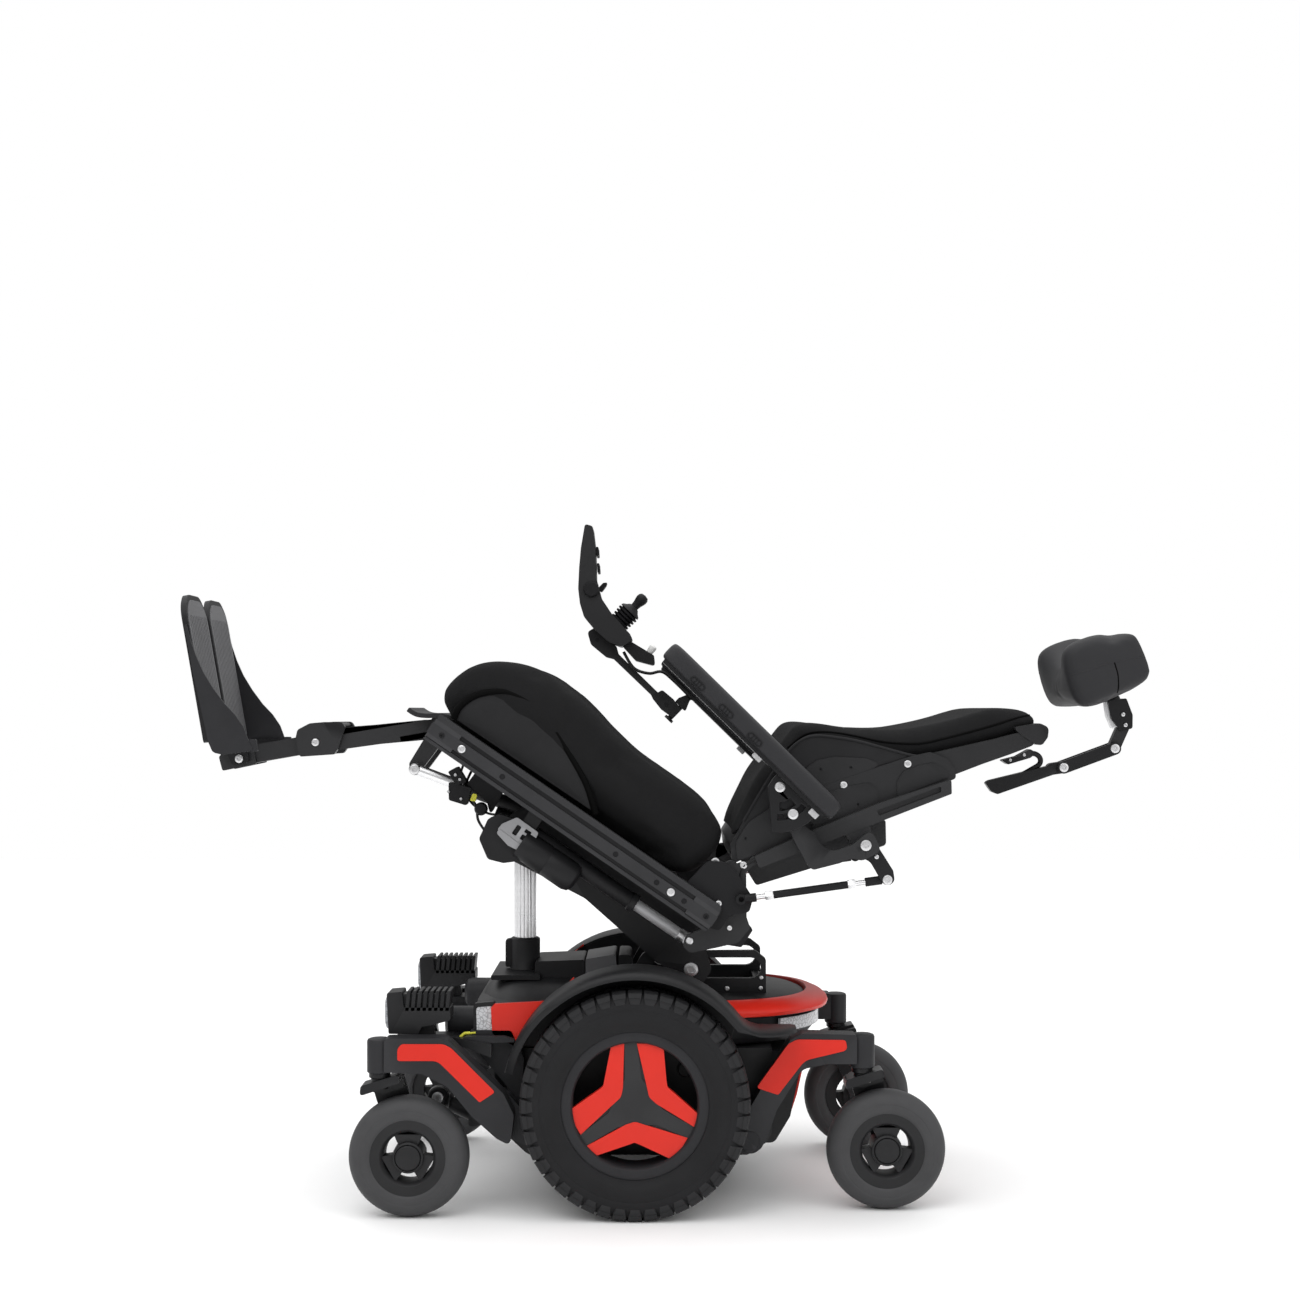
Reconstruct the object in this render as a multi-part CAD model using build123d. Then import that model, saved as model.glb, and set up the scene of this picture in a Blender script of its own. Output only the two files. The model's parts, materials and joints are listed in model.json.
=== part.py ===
from build123d import *
import os

os.makedirs("parts", exist_ok=True)

# Power wheelchair, millimetres. Front is -X, the occupant's left is -Y, up is +Z. It is drawn from the
# point on the ground under the drive axle, and write() then moves it so that the origin is the middle
# of its length. The seat is tilted, the back reclined and the legs raised; each sub-assembly is drawn
# level in its own frame and then turned into place.

# driving dimensions
MIDDLE_X = 59.16
DRIVE_TYRE_R = 178.0
DRIVE_RIM_R = 118.0
DRIVE_Y = 287.0
DRIVE_TYRE_W = 76.0
CASTER_R = 94.0
CASTER_W = 55.0
CASTER_HUB_R = 60.0
FORK_GAP = 4.0
FRONT_CASTER = (-351.0, 275.0)
FRONT_SWIVEL_X = -397.0
FRONT_BARREL_LOW = 223.0
REAR_CASTER = (395.0, 225.0)
REAR_SWIVEL_X = 358.0
REAR_BARREL_LOW = 222.0
BARREL_TOP = 276.0
BARREL_R = 19.5
STEM_R = 10.0
AXLE_R = 6.0
RUN = 0.05
SEAT_TILT = 34.4
SEAT_PIVOT = (90.0, 0.0, 361.0)
BACK_LEAN = 67.5
BACK_PIVOT_IN_SEAT = (-58.0, 160.0)
ARM_LEAN = 44.4
ARM_PIVOT = (225.0, 0.0, 666.0)
LEG_LEAN = -9.9
KNEE_IN_SEAT = (-566.0, 91.0)
RAIL_Y = 250.0
SEAT_HALF = 222.0
BACK_HALF = 212.0
COLUMN_X = -188.0
COLUMN_R = 18.5
COLUMN_SOCKET_R = 25.0
ARM_Y = 270.0
ARM_HINGE = (42.0, 228.5)
ARM_LINK_END = (106.0, 240.0)
ARM_PIN_R = 7.0
JOYSTICK_Y = 265.0
STICK_X = -380.0
TOGGLE_PIVOT = (-300.0, 13.0)
PADDLE_PIVOT = (-447.0, 38.0)
SWING_PIVOT = (-192.0, 264.0)
FRONT_ARM_PIVOT = (-150.0, 120.0)
LEVER_PIVOT = (-200.0, 267.0)
REAR_ARM_PIVOT = (180.0, 109.0)
SHORT_PIN_R = 5.0
PIVOT_R = 8.0
TILT_SLOT = (344.0, 378.0)
RECLINE_Y = -185.0
RECLINE_V = 46.0
RECLINE_ROD_R = 9.0
LEG_ROD_R = 7.0
FOOT_PIVOT = (-338.0, 7.0)
HEAD_LOW = (77.0, 609.0)
HEAD_MID = (79.0, 702.0)
DECK_LOW = 247.0


def side_plate(points, y_low, y_high, radius=0.0):
    """A plate outlined in the side view, thick across the chair."""
    face = make_face(Polyline(*[(x, 0, z) for x, z in points], close=True))
    body = Pos(0, y_low, 0) * extrude(face, amount=y_high - y_low, dir=(0, 1, 0))
    if radius:
        body = fillet(body.edges().filter_by(Axis.Y), radius)
    return body


def block(x_low, x_high, y_low, y_high, z_low, z_high):
    body = Box(x_high - x_low, y_high - y_low, z_high - z_low, align=(Align.MIN,) * 3)
    return Pos(x_low, y_low, z_low) * body


def pin(x, z, y_low, y_high, radius):
    """A round bar across the chair."""
    body = Rot(-90, 0, 0) * Cylinder(radius, y_high - y_low, align=(Align.CENTER, Align.CENTER, Align.MIN))
    return Pos(x, y_low, z) * body


def post(x, y, z_low, z_high, radius):
    body = Cylinder(radius, z_high - z_low, align=(Align.CENTER, Align.CENTER, Align.MIN))
    return Pos(x, y, z_low) * body


def bar(start, end, radius):
    """A round bar between two points."""
    first = Vector(*start)
    along = Vector(*end) - first
    plane = Plane(origin=first, z_dir=along.normalized())
    return plane * Cylinder(radius, along.length, align=(Align.CENTER, Align.CENTER, Align.MIN))


def link(start, end, y_low, y_high, radius):
    """A flat link with round ends, outlined in the side view."""
    (xa, za), (xb, zb) = start, end
    along = Vector(xb - xa, 0, zb - za)
    side = Vector(-along.Z, 0, along.X).normalized() * radius
    corners = [
        (xa + side.X, za + side.Z),
        (xb + side.X, zb + side.Z),
        (xb - side.X, zb - side.Z),
        (xa - side.X, za - side.Z),
    ]
    body = side_plate(corners, y_low, y_high)
    return body + pin(xa, za, y_low, y_high, radius) + pin(xb, zb, y_low, y_high, radius)


def other_side(body):
    return mirror(body, about=Plane.XZ)


def both_sides(body):
    return Compound(children=[*body.solids(), *other_side(body).solids()])


def group(*bodies):
    return Compound(children=[solid for body in bodies for solid in body.solids()])


def write(name, body):
    solids = (Pos(-MIDDLE_X, 0, 0) * body).solids()
    shape = solids[0] if len(solids) == 1 else Compound(children=solids)
    export_step(shape, "parts/" + name + ".step")


SEAT = Pos(*SEAT_PIVOT) * Rot(0, SEAT_TILT, 0)
BACK = SEAT * Pos(BACK_PIVOT_IN_SEAT[0], 0, BACK_PIVOT_IN_SEAT[1]) * Rot(0, BACK_LEAN - SEAT_TILT, 0)
ARM = Pos(*ARM_PIVOT) * Rot(0, ARM_LEAN, 0)
LEG = SEAT * Pos(KNEE_IN_SEAT[0], 0, KNEE_IN_SEAT[1]) * Rot(0, LEG_LEAN - SEAT_TILT, 0)

# ---------------------------------------------------------------- chassis
frame_body = block(-228, 222, -186, 186, 72, 246)
frame_body -= block(-150, 60, -160, 160, 80, 250)
frame_body -= block(74, 212, -150, 150, 120, 250)
frame_body -= post(COLUMN_X, 0, 50, 260, COLUMN_R + 4)
front_pivot = pin(*FRONT_ARM_PIVOT, -244, -180, PIVOT_R)
rear_pivot = pin(*REAR_ARM_PIVOT, -244, -180, PIVOT_R)
drive_stub = pin(0, DRIVE_TYRE_R, -302, -180, 12)
lamp_bracket = side_plate([(-352, 262), (-352, 272), (-226, 232), (-226, 200)], -200, -186)
lamp_bracket += block(-352, -322, -232, -188, 262, 272)
frame_body += both_sides(front_pivot + rear_pivot + drive_stub + lamp_bracket)
write("chassis_frame", frame_body)

battery = block(-148, 58, -158, -2, 81, 244)
write("batteries", both_sides(battery))

motor = pin(150, 185, -148, -20, 44) + block(110, 190, -149, -120, 140, 230)
front_can = bar((-305, -168, 287), (-232, -168, 287), 21) + bar((-238, -168, 287), (-229, -168, 287), 26)
write("drive_motors", group(both_sides(motor), both_sides(front_can)))

# ---------------------------------------------------------------- shroud and trim
plan_outer = Polyline((-262, -150), (-230, -214), (105, -214))
plan_rear = ThreePointArc((105, -214), (321, 0), (105, 214))
plan_close = Polyline((105, 214), (-230, 214), (-262, 150), (-262, -150))
plan_face = make_face(Wire([*plan_outer.edges(), *plan_rear.edges(), *plan_close.edges()]))
deck = Pos(0, 0, DECK_LOW) * extrude(scale(plan_face, by=0.93), amount=65, dir=(0, 0, 1))
deck -= block(-210, 190, -150, 150, 240, 300)
dome = side_plate([(-246, 305), (-232, 330), (-205, 338), (-30, 338), (-10, 320), (-10, 305)], -140, 140, 6)
shroud = deck + dome
shroud -= post(COLUMN_X, 0, 240, 350, COLUMN_SOCKET_R + RUN)
shroud -= both_sides(bar((-280, -168, 287), (-200, -168, 287), 27))
shroud += both_sides(pin(*LEVER_PIVOT, -243, -190, SHORT_PIN_R))
write("top_shroud", shroud)

rim_band = Pos(0, 0, 300) * extrude(plan_face, amount=17, dir=(0, 0, 1))
rim_band -= Pos(0, 0, 290) * extrude(scale(plan_face, by=0.935), amount=40, dir=(0, 0, 1))
rim_band -= block(-300, 60, -300, 300, 280, 340)
shoulder_outline = [(-226, 323), (-128, 323), (-108, 340), (-122, 300), (-176, 254), (-222, 272)]
shoulder = side_plate(shoulder_outline, -226, -215)
shoulder -= pin(*LEVER_PIVOT, -230, -210, 7)
write("trim_panels", group(rim_band, both_sides(shoulder)))

arch = pin(0, DRIVE_TYRE_R, -326, -229, 206) - pin(0, DRIVE_TYRE_R, -340, -200, 194)
arch_reach = [(-190, 216), (-230, 300), (-120, 420), (90, 420), (165, 296), (120, 270), (0, 216)]
arch &= side_plate(arch_reach, -330, -210)
tail = side_plate([(134, 318), (164, 300), (243, 288), (243, 283), (160, 280), (126, 308)], -326, -256)
guard = arch + tail
write("fenders", both_sides(guard))

lamp = side_plate([(-387, 277), (-389, 341), (-300, 345), (-290, 338), (-292, 312), (-330, 300), (-362, 277)],
                  -248, -196)
lamp += block(-346, -326, -230, -214, 272, 304)
write("headlights", both_sides(lamp))

lens = side_plate([(-387.5, 284), (-394, 286), (-395, 334), (-389.5, 338)], -244, -200)
side_lens = side_plate([(-252, 272), (-252, 318), (-228, 318), (-224, 272)], -224, -216)
rear_lens = block(228, 250, -150, -104, 270, 296)
rear_lens -= Pos(0, 0, 240) * extrude(scale(plan_face, by=0.93), amount=100, dir=(0, 0, 1))
lamp_glass = group(both_sides(lens), both_sides(side_lens), both_sides(rear_lens))
write("lamp_lenses", lamp_glass)

sleeve = post(COLUMN_X, 0, DECK_LOW, 400, COLUMN_SOCKET_R) + block(-239, -164, -28, 28, 342, 350)
sleeve -= post(COLUMN_X, 0, 240, 410, COLUMN_R + RUN)
write("column_sleeve", sleeve)

track = side_plate([(-6, 313), (-6, 366), (16, 390), (212, 390), (212, 313)], -91, -79)
track -= block(26, 206, -100, -70, *TILT_SLOT)
track += block(0, 212, -79, -46, 313, 321)
write("tilt_track", both_sides(track))

box_low = block(-160, -86, -60, 60, 338.5, 371)
box_high = block(-84, -32, -60, 60, 338.5, 379)
write("power_module", group(box_low, box_high))

# ---------------------------------------------------------------- motor release levers
lever = side_plate([(-277, 268), (-270, 276), (-200, 275), (-190, 270), (-190, 262), (-262, 260)], -242, -232)
lever -= pin(*LEVER_PIVOT, -250, -220, SHORT_PIN_R + RUN)
write("release_lever_left", lever)
write("release_lever_right", other_side(lever))

# ---------------------------------------------------------------- drive wheels
tyre = pin(0, DRIVE_TYRE_R, -325, -249, DRIVE_TYRE_R)
tyre = fillet(tyre.edges().filter_by(GeomType.CIRCLE), 16)
tyre -= pin(0, DRIVE_TYRE_R, -340, -240, DRIVE_RIM_R)
rim = pin(0, DRIVE_TYRE_R, -316, -252, DRIVE_RIM_R) - pin(0, DRIVE_TYRE_R, -320, -269, 99)
rim -= pin(0, DRIVE_TYRE_R, -259, -240, 99)
rim += pin(0, DRIVE_TYRE_R, -312, -252, 30)
inlay = side_plate([(-13, 24), (-24, 94), (24, 94), (13, 24)], -310, -263)
for turn in (0, 120, 240):
    rim += Pos(0, 0, DRIVE_TYRE_R) * Rot(0, turn, 0) * inlay
rim -= pin(0, DRIVE_TYRE_R, -303, -240, 12 + RUN)
write("drive_tyre_left", tyre)
write("drive_tyre_right", other_side(tyre))
write("drive_rim_left", rim)
write("drive_rim_right", other_side(rim))

# ---------------------------------------------------------------- suspension arms
front_outline = [(-385, 226), (-385, 278), (-292, 278), (-196, 186), (-196, 112), (-228, 132), (-262, 160),
                 (-292, 204), (-330, 226)]
front_arm = side_plate(front_outline, -295, -256)
front_arm += side_plate([(-196, 186), (-196, 112), (-228, 132), (-240, 180)], -257, -196)
front_arm += link((-214, 146), FRONT_ARM_PIVOT, -236, -196, 18)
front_arm += post(FRONT_SWIVEL_X, -FRONT_CASTER[1], FRONT_BARREL_LOW, BARREL_TOP, BARREL_R)
front_arm -= post(FRONT_SWIVEL_X, -FRONT_CASTER[1], 210, BARREL_TOP - 5, STEM_R + RUN)
front_arm -= pin(*FRONT_ARM_PIVOT, -250, -190, PIVOT_R + RUN)
shock = bar((-318, -162, 164), (-246, -162, 132), 13)
front_arm += side_plate([(-258, 128), (-258, 150), (-238, 156), (-238, 128)], -200, -150)
front_arm += shock
write("arm_front_left", front_arm)
write("arm_front_right", other_side(front_arm))

rear_outline = [(346, 228), (346, 276), (258, 276), (166, 124), (180, 91), (200, 100), (210, 130), (252, 214),
                (270, 228)]
rear_arm = side_plate(rear_outline, -245, -205) + pin(*REAR_ARM_PIVOT, -245, -196, 20)
rear_arm += post(REAR_SWIVEL_X, -REAR_CASTER[1], REAR_BARREL_LOW, BARREL_TOP, BARREL_R)
rear_arm -= post(REAR_SWIVEL_X, -REAR_CASTER[1], 210, BARREL_TOP - 5, STEM_R + RUN)
rear_arm -= pin(*REAR_ARM_PIVOT, -250, -190, PIVOT_R + RUN)
write("arm_rear_left", rear_arm)
write("arm_rear_right", other_side(rear_arm))

# ---------------------------------------------------------------- casters


def caster(wheel_x, wheel_y, swivel_x, barrel_low):
    """Fork and wheel of one left caster; the leg stands inboard of the wheel."""
    leg_y = wheel_y + CASTER_W / 2 + FORK_GAP
    fork = post(swivel_x, wheel_y, 196, BARREL_TOP - 6, STEM_R)
    crown = [(swivel_x - 26, 195), (swivel_x - 26, 207), (swivel_x + 30, 219), (swivel_x + 30, 205)]
    fork += side_plate(crown, wheel_y - 20, leg_y + 8)
    fork += post(swivel_x, wheel_y, 210, barrel_low - 0.5, 16)
    fork += link((swivel_x + 4, 196), (wheel_x, CASTER_R), leg_y, leg_y + 8, 14)
    fork += pin(wheel_x, CASTER_R, wheel_y - 26, leg_y + 4, AXLE_R)
    wheel = pin(wheel_x, CASTER_R, wheel_y - CASTER_W / 2, wheel_y + CASTER_W / 2, CASTER_R)
    wheel = fillet(wheel.edges().filter_by(GeomType.CIRCLE), 22)
    wheel -= pin(wheel_x, CASTER_R, wheel_y - 40, wheel_y + 40, CASTER_HUB_R)
    hub = pin(wheel_x, CASTER_R, wheel_y - 25, wheel_y + 25, CASTER_HUB_R)
    for dish in (-25, 25):
        hub -= pin(wheel_x, CASTER_R, wheel_y + dish - 15, wheel_y + dish + 15, 43)
    hub += pin(wheel_x, CASTER_R, wheel_y - 27, wheel_y + 25, 20)
    hub -= pin(wheel_x, CASTER_R, wheel_y - 26.5, wheel_y + 40, AXLE_R + RUN)
    return fork, group(wheel, hub)


front_fork, front_wheel = caster(FRONT_CASTER[0], -FRONT_CASTER[1], FRONT_SWIVEL_X, FRONT_BARREL_LOW)
rear_fork, rear_wheel = caster(REAR_CASTER[0], -REAR_CASTER[1], REAR_SWIVEL_X, REAR_BARREL_LOW)
write("fork_front_left", front_fork)
write("fork_front_right", other_side(front_fork))
write("fork_rear_left", rear_fork)
write("fork_rear_right", other_side(rear_fork))
write("caster_wheel_front_left", front_wheel)
write("caster_wheel_front_right", other_side(front_wheel))
write("caster_wheel_rear_left", rear_wheel)
write("caster_wheel_rear_right", other_side(rear_wheel))

# ---------------------------------------------------------------- lift column and tilt carriage
tube = post(COLUMN_X, 0, 262, 600, COLUMN_R) - post(COLUMN_X, 0, 250, 590, 13)
write("lift_tube", tube)

slider_block = block(76, 104, -91.5, -78.5, TILT_SLOT[0] + 0.1, TILT_SLOT[1] - 0.1)
carriage = both_sides(slider_block) + pin(SEAT_PIVOT[0], SEAT_PIVOT[2], -112, 112, PIVOT_R)
write("tilt_carriage", carriage)

# ---------------------------------------------------------------- seat
rail = block(-565, -24, -RAIL_Y, -226, 75, 122)
rail -= block(-515, -71, -260, -246, 105, 112) + block(-515, -71, -260, -246, 80, 87)
for hole_u in (-427, -212, -134, -82):
    rail -= pin(hole_u, 95.5, -260, -220, 4.5)
tilt_arm = side_plate(
    [(25, -12), (25, 22), (-40, 76), (-380, 76), (-388, 39), (-364, -18), (-340, -18), (-209, -2), (-50, -19)],
    -111, -95)
tilt_arm -= pin(0, 0, -120, -90, PIVOT_R + RUN)
ear_outline = [(-95, 116), (-84, 172), (-60, 182), (-36, 176), (4, 158), (10, 138), (-30, 116)]
ear = side_plate(ear_outline, -234, -226)
ear += pin(*BACK_PIVOT_IN_SEAT, -234, -203, PIVOT_R)
ear += pin(-9, 148, -246, -234, 4)
knee_plate = side_plate([(-580, 78), (-580, 104), (-505, 106), (-505, 78)], -72, -64)
knee_plate += pin(*KNEE_IN_SEAT, -72, -48, PIVOT_R)
seat_frame = both_sides(rail + tilt_arm + ear + knee_plate)
seat_frame += block(-530, -505, -230, 230, 78, 106)
seat_frame += block(-252, -226, -230, 230, 74, 106)
seat_frame += block(-184, -158, -230, 230, 74, 106)
seat_frame += block(-562, -105, -228, 228, 106, 114)
seat_frame += both_sides(side_plate([(-420, 108), (-420, 30), (-392, 30), (-366, 108)], -34, -27))
write("seat_frame", SEAT * seat_frame)

cushion_outline = [(-552, 122), (-571, 133), (-578, 162), (-567, 197), (-543, 228), (-512, 249), (-464, 264),
                   (-417, 263), (-370, 257), (-307, 239), (-243, 230), (-140, 228), (-112, 218), (-99, 196),
                   (-96, 128), (-100, 122)]
write("seat_cushion", SEAT * side_plate(cushion_outline, -SEAT_HALF, SEAT_HALF))

# ---------------------------------------------------------------- recline and leg actuators
recline_tube = bar((-339, RECLINE_Y, RECLINE_V), (-141, RECLINE_Y, RECLINE_V), 12)
recline_tube -= bar((-330, RECLINE_Y, RECLINE_V), (-130, RECLINE_Y, RECLINE_V), RECLINE_ROD_R + RUN)
recline_drive = block(-386, -338, -204, -168, 12, 60) + block(-340, -330, -196, -174, 4, 46)
recline_motor = bar((-331, -188, 17), (-236, -188, 17), 18)
recline_cap = bar((-364, -186, -16), (-364, -186, 14), 17)
recline_mount = block(-362, -350, -206, -166, 58, 105.5)
write("recline_actuator", SEAT * (recline_tube + recline_drive + recline_motor + recline_cap + recline_mount))

recline_rod = bar((-262, RECLINE_Y, RECLINE_V), (-44, RECLINE_Y, RECLINE_V), RECLINE_ROD_R)
recline_rod += pin(-34, RECLINE_V, -196, -174, 11) + pin(-34, RECLINE_V, -202, -196, 7)
write("recline_rod", SEAT * recline_rod)

LEG_ROD = Pos(-561, -70, 12) * Rot(0, -14, 0)
leg_tube_body = bar((82, 0, 0), (236, 0, 0), 12) - bar((80, 0, 0), (230, 0, 0), LEG_ROD_R + RUN)
leg_drive = block(234, 276, -16, 18, -22, 14)
leg_motor = bar((150, 0, -24), (236, 0, -24), 13) + block(228, 236, -10, 10, -28, -10)
leg_mount = side_plate([(250, 10), (268, 10), (262, 29), (244, 29)], -8, 8)
leg_actuator = SEAT * LEG_ROD * (leg_tube_body + leg_drive + leg_motor + leg_mount)
write("legrest_actuator", leg_actuator)

leg_rod = bar((9, 0, 0), (170, 0, 0), LEG_ROD_R) + pin(0, 0, -6, 6, 10)
write("legrest_rod", SEAT * LEG_ROD * leg_rod)

# ---------------------------------------------------------------- backrest
lever_outline = [(-14, -6), (-12, 12), (2, 16), (2, 200), (18, 200), (20, 40), (44, 8), (92, -76), (88, -96),
                 (70, -94), (6, -14)]
back_lever = side_plate(lever_outline, -215, -205)
back_lever += pin(0, 0, -215, -205, 14)
back_lever -= pin(0, 0, -220, -200, PIVOT_R + RUN)
back_rail = side_plate([(2, 46), (-2, 200), (0, 389), (19, 386), (19, 60), (14, 46)], -232, -214)
arm_lug = side_plate([(8, 206), (8, 250), (54, 243), (56, 216)], -232, -216)
arm_lug += pin(*ARM_HINGE, -264, -230, ARM_PIN_R)
back_frame = both_sides(back_lever + back_rail + arm_lug)
back_frame += block(3, 15, -214, 214, 70, 120)
back_frame += block(3, 15, -214, 214, 330, 370)
write("back_frame", BACK * back_frame)

shell_outline = [(-3, 24), (-30, 27), (-38, 44), (-64, 90), (-71, 186), (-67, 281), (-50, 376), (-40, 460),
                 (-32, 560), (-11, 584), (8, 565), (2, 400), (-3, 360)]
write("back_shell", BACK * side_plate(shell_outline, -BACK_HALF, BACK_HALF))

back_outline = [(-72, 94), (-112, 97), (-133, 126), (-158, 167), (-170, 194), (-164, 223), (-138, 263),
                (-106, 320), (-92, 360), (-84, 449), (-72, 513), (-50, 542), (-36, 556), (-42, 460), (-52, 376),
                (-69, 281), (-73, 186)]
write("back_cushion", BACK * side_plate(back_outline, -198, 198))

# ---------------------------------------------------------------- armrests
back_arm = [(-98, 128), (-98, 150), (10, 158), (16, 183), (20, 243), (60, 250), (60, 214), (54, 206), (46, 139),
            (30, 128)]
bracket = side_plate(back_arm, -264, -254) + pin(-94, 139.4, -264, -254, 13)
bracket -= pin(*ARM_HINGE, -270, -250, ARM_PIN_R + RUN)
quadrant = side_plate([(-61, 16), (68, 16), (57, -36), (37, -48), (-2, -25), (-33, -3)], -275, -264)
arm_left = BACK * bracket + ARM * quadrant
write("arm_bracket_left", arm_left)
write("arm_bracket_right", other_side(arm_left))

strap = side_plate([(-206, -12), (-206, -5), (-198, 18), (-150, 18), (-150, 12), (-192, 10), (-180, -12)],
                   ARM_Y - 20, ARM_Y + 12)
strap += post(*SWING_PIVOT, -44, -8, SHORT_PIN_R)
pad_outline = [(-270, 38), (-260, 48), (70, 48), (88, 38), (83, 24), (76, 16), (-266, 16)]
pad = side_plate(pad_outline, -ARM_Y - 35, -ARM_Y + 33)
write("arm_pad_left", ARM * pad)
write("arm_pad_right", ARM * (other_side(pad) + strap))

crank = link(ARM_HINGE, ARM_LINK_END, -252, -247, 10) - pin(*ARM_HINGE, -260, -240, ARM_PIN_R + RUN)
write("arm_levers", BACK * both_sides(crank))

ROD_FRONT = (SEAT * Pos(-9, -240, 148)).position
ROD_REAR = (BACK * Pos(ARM_LINK_END[0], -240, ARM_LINK_END[1])).position
rod_line = (ROD_REAR - ROD_FRONT).normalized()
link_rod = bar(tuple(ROD_FRONT + rod_line * 7), tuple(ROD_REAR - rod_line * 7), 4.5)
link_rod += pin(ROD_FRONT.X, ROD_FRONT.Z, -245, -236, 9)
link_rod += pin(ROD_REAR.X, ROD_REAR.Z, -245, -236, 8)
link_rod -= pin(ROD_FRONT.X, ROD_FRONT.Z, -250, -230, 4 + RUN)
write("arm_links", both_sides(link_rod))

# ---------------------------------------------------------------- leg rest
leg_body = side_plate([(-236, -4), (-236, 26), (-40, 20), (6, 14), (12, 0), (6, -14), (-40, -8)], -50, 50)
leg_body += side_plate([(-239, -8), (-239, 36), (-212, 43), (-160, 37), (-157, 28), (-176, -12)], -57, 57)
leg_body += both_sides(link((0, 0), (-53, -58), -60, -50, 10))
leg_body -= pin(0, 0, -80, 80, PIVOT_R + RUN)
leg_body -= block(-250, -80, -40.3, 40.3, -2.3, 16.3)
write("leg_tube", LEG * leg_body)

leg_slider = block(-372, -110, -40, 40, -2, 16) + pin(*FOOT_PIVOT, -70, 70, 6)
write("leg_slider", LEG * leg_slider)

tread = side_plate([(-372, 40), (-376, 272), (-370, 282), (-362, 282), (-358, 45)], -160, -8)
side_guard = side_plate([(-366, 22), (-369, 262), (-360, 262), (-357, 154), (-345, 126), (-316, 77), (-305, 55),
                         (-299, 30), (-300, 19), (-356, 19)], -165, -159)
heel = side_plate([(-360, 19), (-370, 41), (-360, 52), (-318, 36), (-318, 19)], -160, -44)
lug = side_plate([(-352, -6), (-358, 22), (-318, 22), (-324, -6)], -66, -44)
foot = tread + side_guard + heel + lug
foot -= pin(*FOOT_PIVOT, -170, 0, 6 + RUN)
write("footplate_left", LEG * foot)
write("footplate_right", LEG * other_side(foot))

# ---------------------------------------------------------------- joystick on the right armrest
swing = side_plate([(-404, -42), (-404, -28), (-200, -14), (-180, -20), (-180, -38), (-240, -40), (-344, -50)],
                   ARM_Y - 16, ARM_Y + 4)
swing -= post(*SWING_PIVOT, -60, 0, SHORT_PIN_R + RUN)
write("joystick_arm", ARM * swing)

module_outline = [(-546, 101), (-534, 108), (-503, 84), (-464, 46), (-432, 27), (-403, 20), (-350, 17),
                  (-339, 13), (-344, -10), (-367, -24), (-404, -24), (-431, -19), (-453, -7), (-474, 10),
                  (-499, 38), (-522, 66)]
module = side_plate(module_outline, JOYSTICK_Y - 45, JOYSTICK_Y + 45)
module -= post(STICK_X, JOYSTICK_Y, -1, 40, 19)
switch_box = side_plate([(-337, -16), (-335, 10), (-283, 13), (-279, 3)], JOYSTICK_Y - 30, JOYSTICK_Y + 30)
switch_box += block(-352, -330, JOYSTICK_Y - 10, JOYSTICK_Y + 10, -14, -8)
module += switch_box
module -= pin(*TOGGLE_PIVOT, JOYSTICK_Y - 8, JOYSTICK_Y + 8, SHORT_PIN_R)
module -= pin(*PADDLE_PIVOT, JOYSTICK_Y - 13, JOYSTICK_Y + 13, PIVOT_R)
write("joystick_module", ARM * module)

gimbal = post(STICK_X, JOYSTICK_Y, 5, 21, 14) - post(STICK_X, JOYSTICK_Y, 13, 30, 11)
write("joystick_gimbal", ARM * gimbal)

stick = post(STICK_X, JOYSTICK_Y, 17, 40, 6) + post(STICK_X, JOYSTICK_Y, 33, 56, 18)
stick += post(STICK_X, JOYSTICK_Y, 56, 82, 9)
write("joystick_stick", ARM * stick)

toggle = pin(*TOGGLE_PIVOT, JOYSTICK_Y - 7, JOYSTICK_Y + 7, SHORT_PIN_R - RUN)
toggle += post(TOGGLE_PIVOT[0], JOYSTICK_Y, TOGGLE_PIVOT[1], 33, 4)
write("toggle_switch", ARM * toggle)

paddle = pin(*PADDLE_PIVOT, JOYSTICK_Y - 12, JOYSTICK_Y + 12, PIVOT_R - RUN)
paddle += block(-450, -444, JOYSTICK_Y - 10, JOYSTICK_Y + 10, 40, 56)
write("module_paddle", ARM * paddle)

# ---------------------------------------------------------------- headrest
head_bar = side_plate([(56, 482), (70, 480), (84, 594), (86, 610), (68, 612), (62, 540)], -8, 8)
head_bar += pin(*HEAD_LOW, -8, 8, 10)
head_bar += block(8, 60, -22, 22, 505, 535)
head_bar -= pin(*HEAD_LOW, -10, 10, SHORT_PIN_R + RUN)
write("headrest_bar", BACK * head_bar)

lower_link = both_sides(link(HEAD_LOW, HEAD_MID, -15, -8.5, 10)) + block(70, 86, -10, 10, 632, 678)
lower_link += pin(*HEAD_LOW, -10, 10, SHORT_PIN_R) + pin(*HEAD_MID, -10, 10, SHORT_PIN_R)
write("headrest_link_lower", BACK * lower_link)

upper_link = link(HEAD_MID, (48, 733), -8, 8, 9) + bar((46, 0, 732), (8, 0, 728), 5)
upper_link += Pos(4, 0, 728) * Sphere(9)
upper_link -= pin(*HEAD_MID, -10, 10, SHORT_PIN_R + RUN)
write("headrest_link_upper", BACK * upper_link)

pad_outline = [(-110, 632), (-121, 642), (-121, 671), (-114, 738), (-102, 760), (-97, 790), (-88, 798), (-30, 801),
               (-12, 792), (-6, 733), (-6, 664), (-10, 648), (-40, 638)]
write("head_pad", BACK * side_plate(pad_outline, -125, 125))
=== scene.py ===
import json
import math

import bmesh
import bpy
from mathutils import Matrix, Vector
from mathutils.bvhtree import BVHTree


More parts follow.
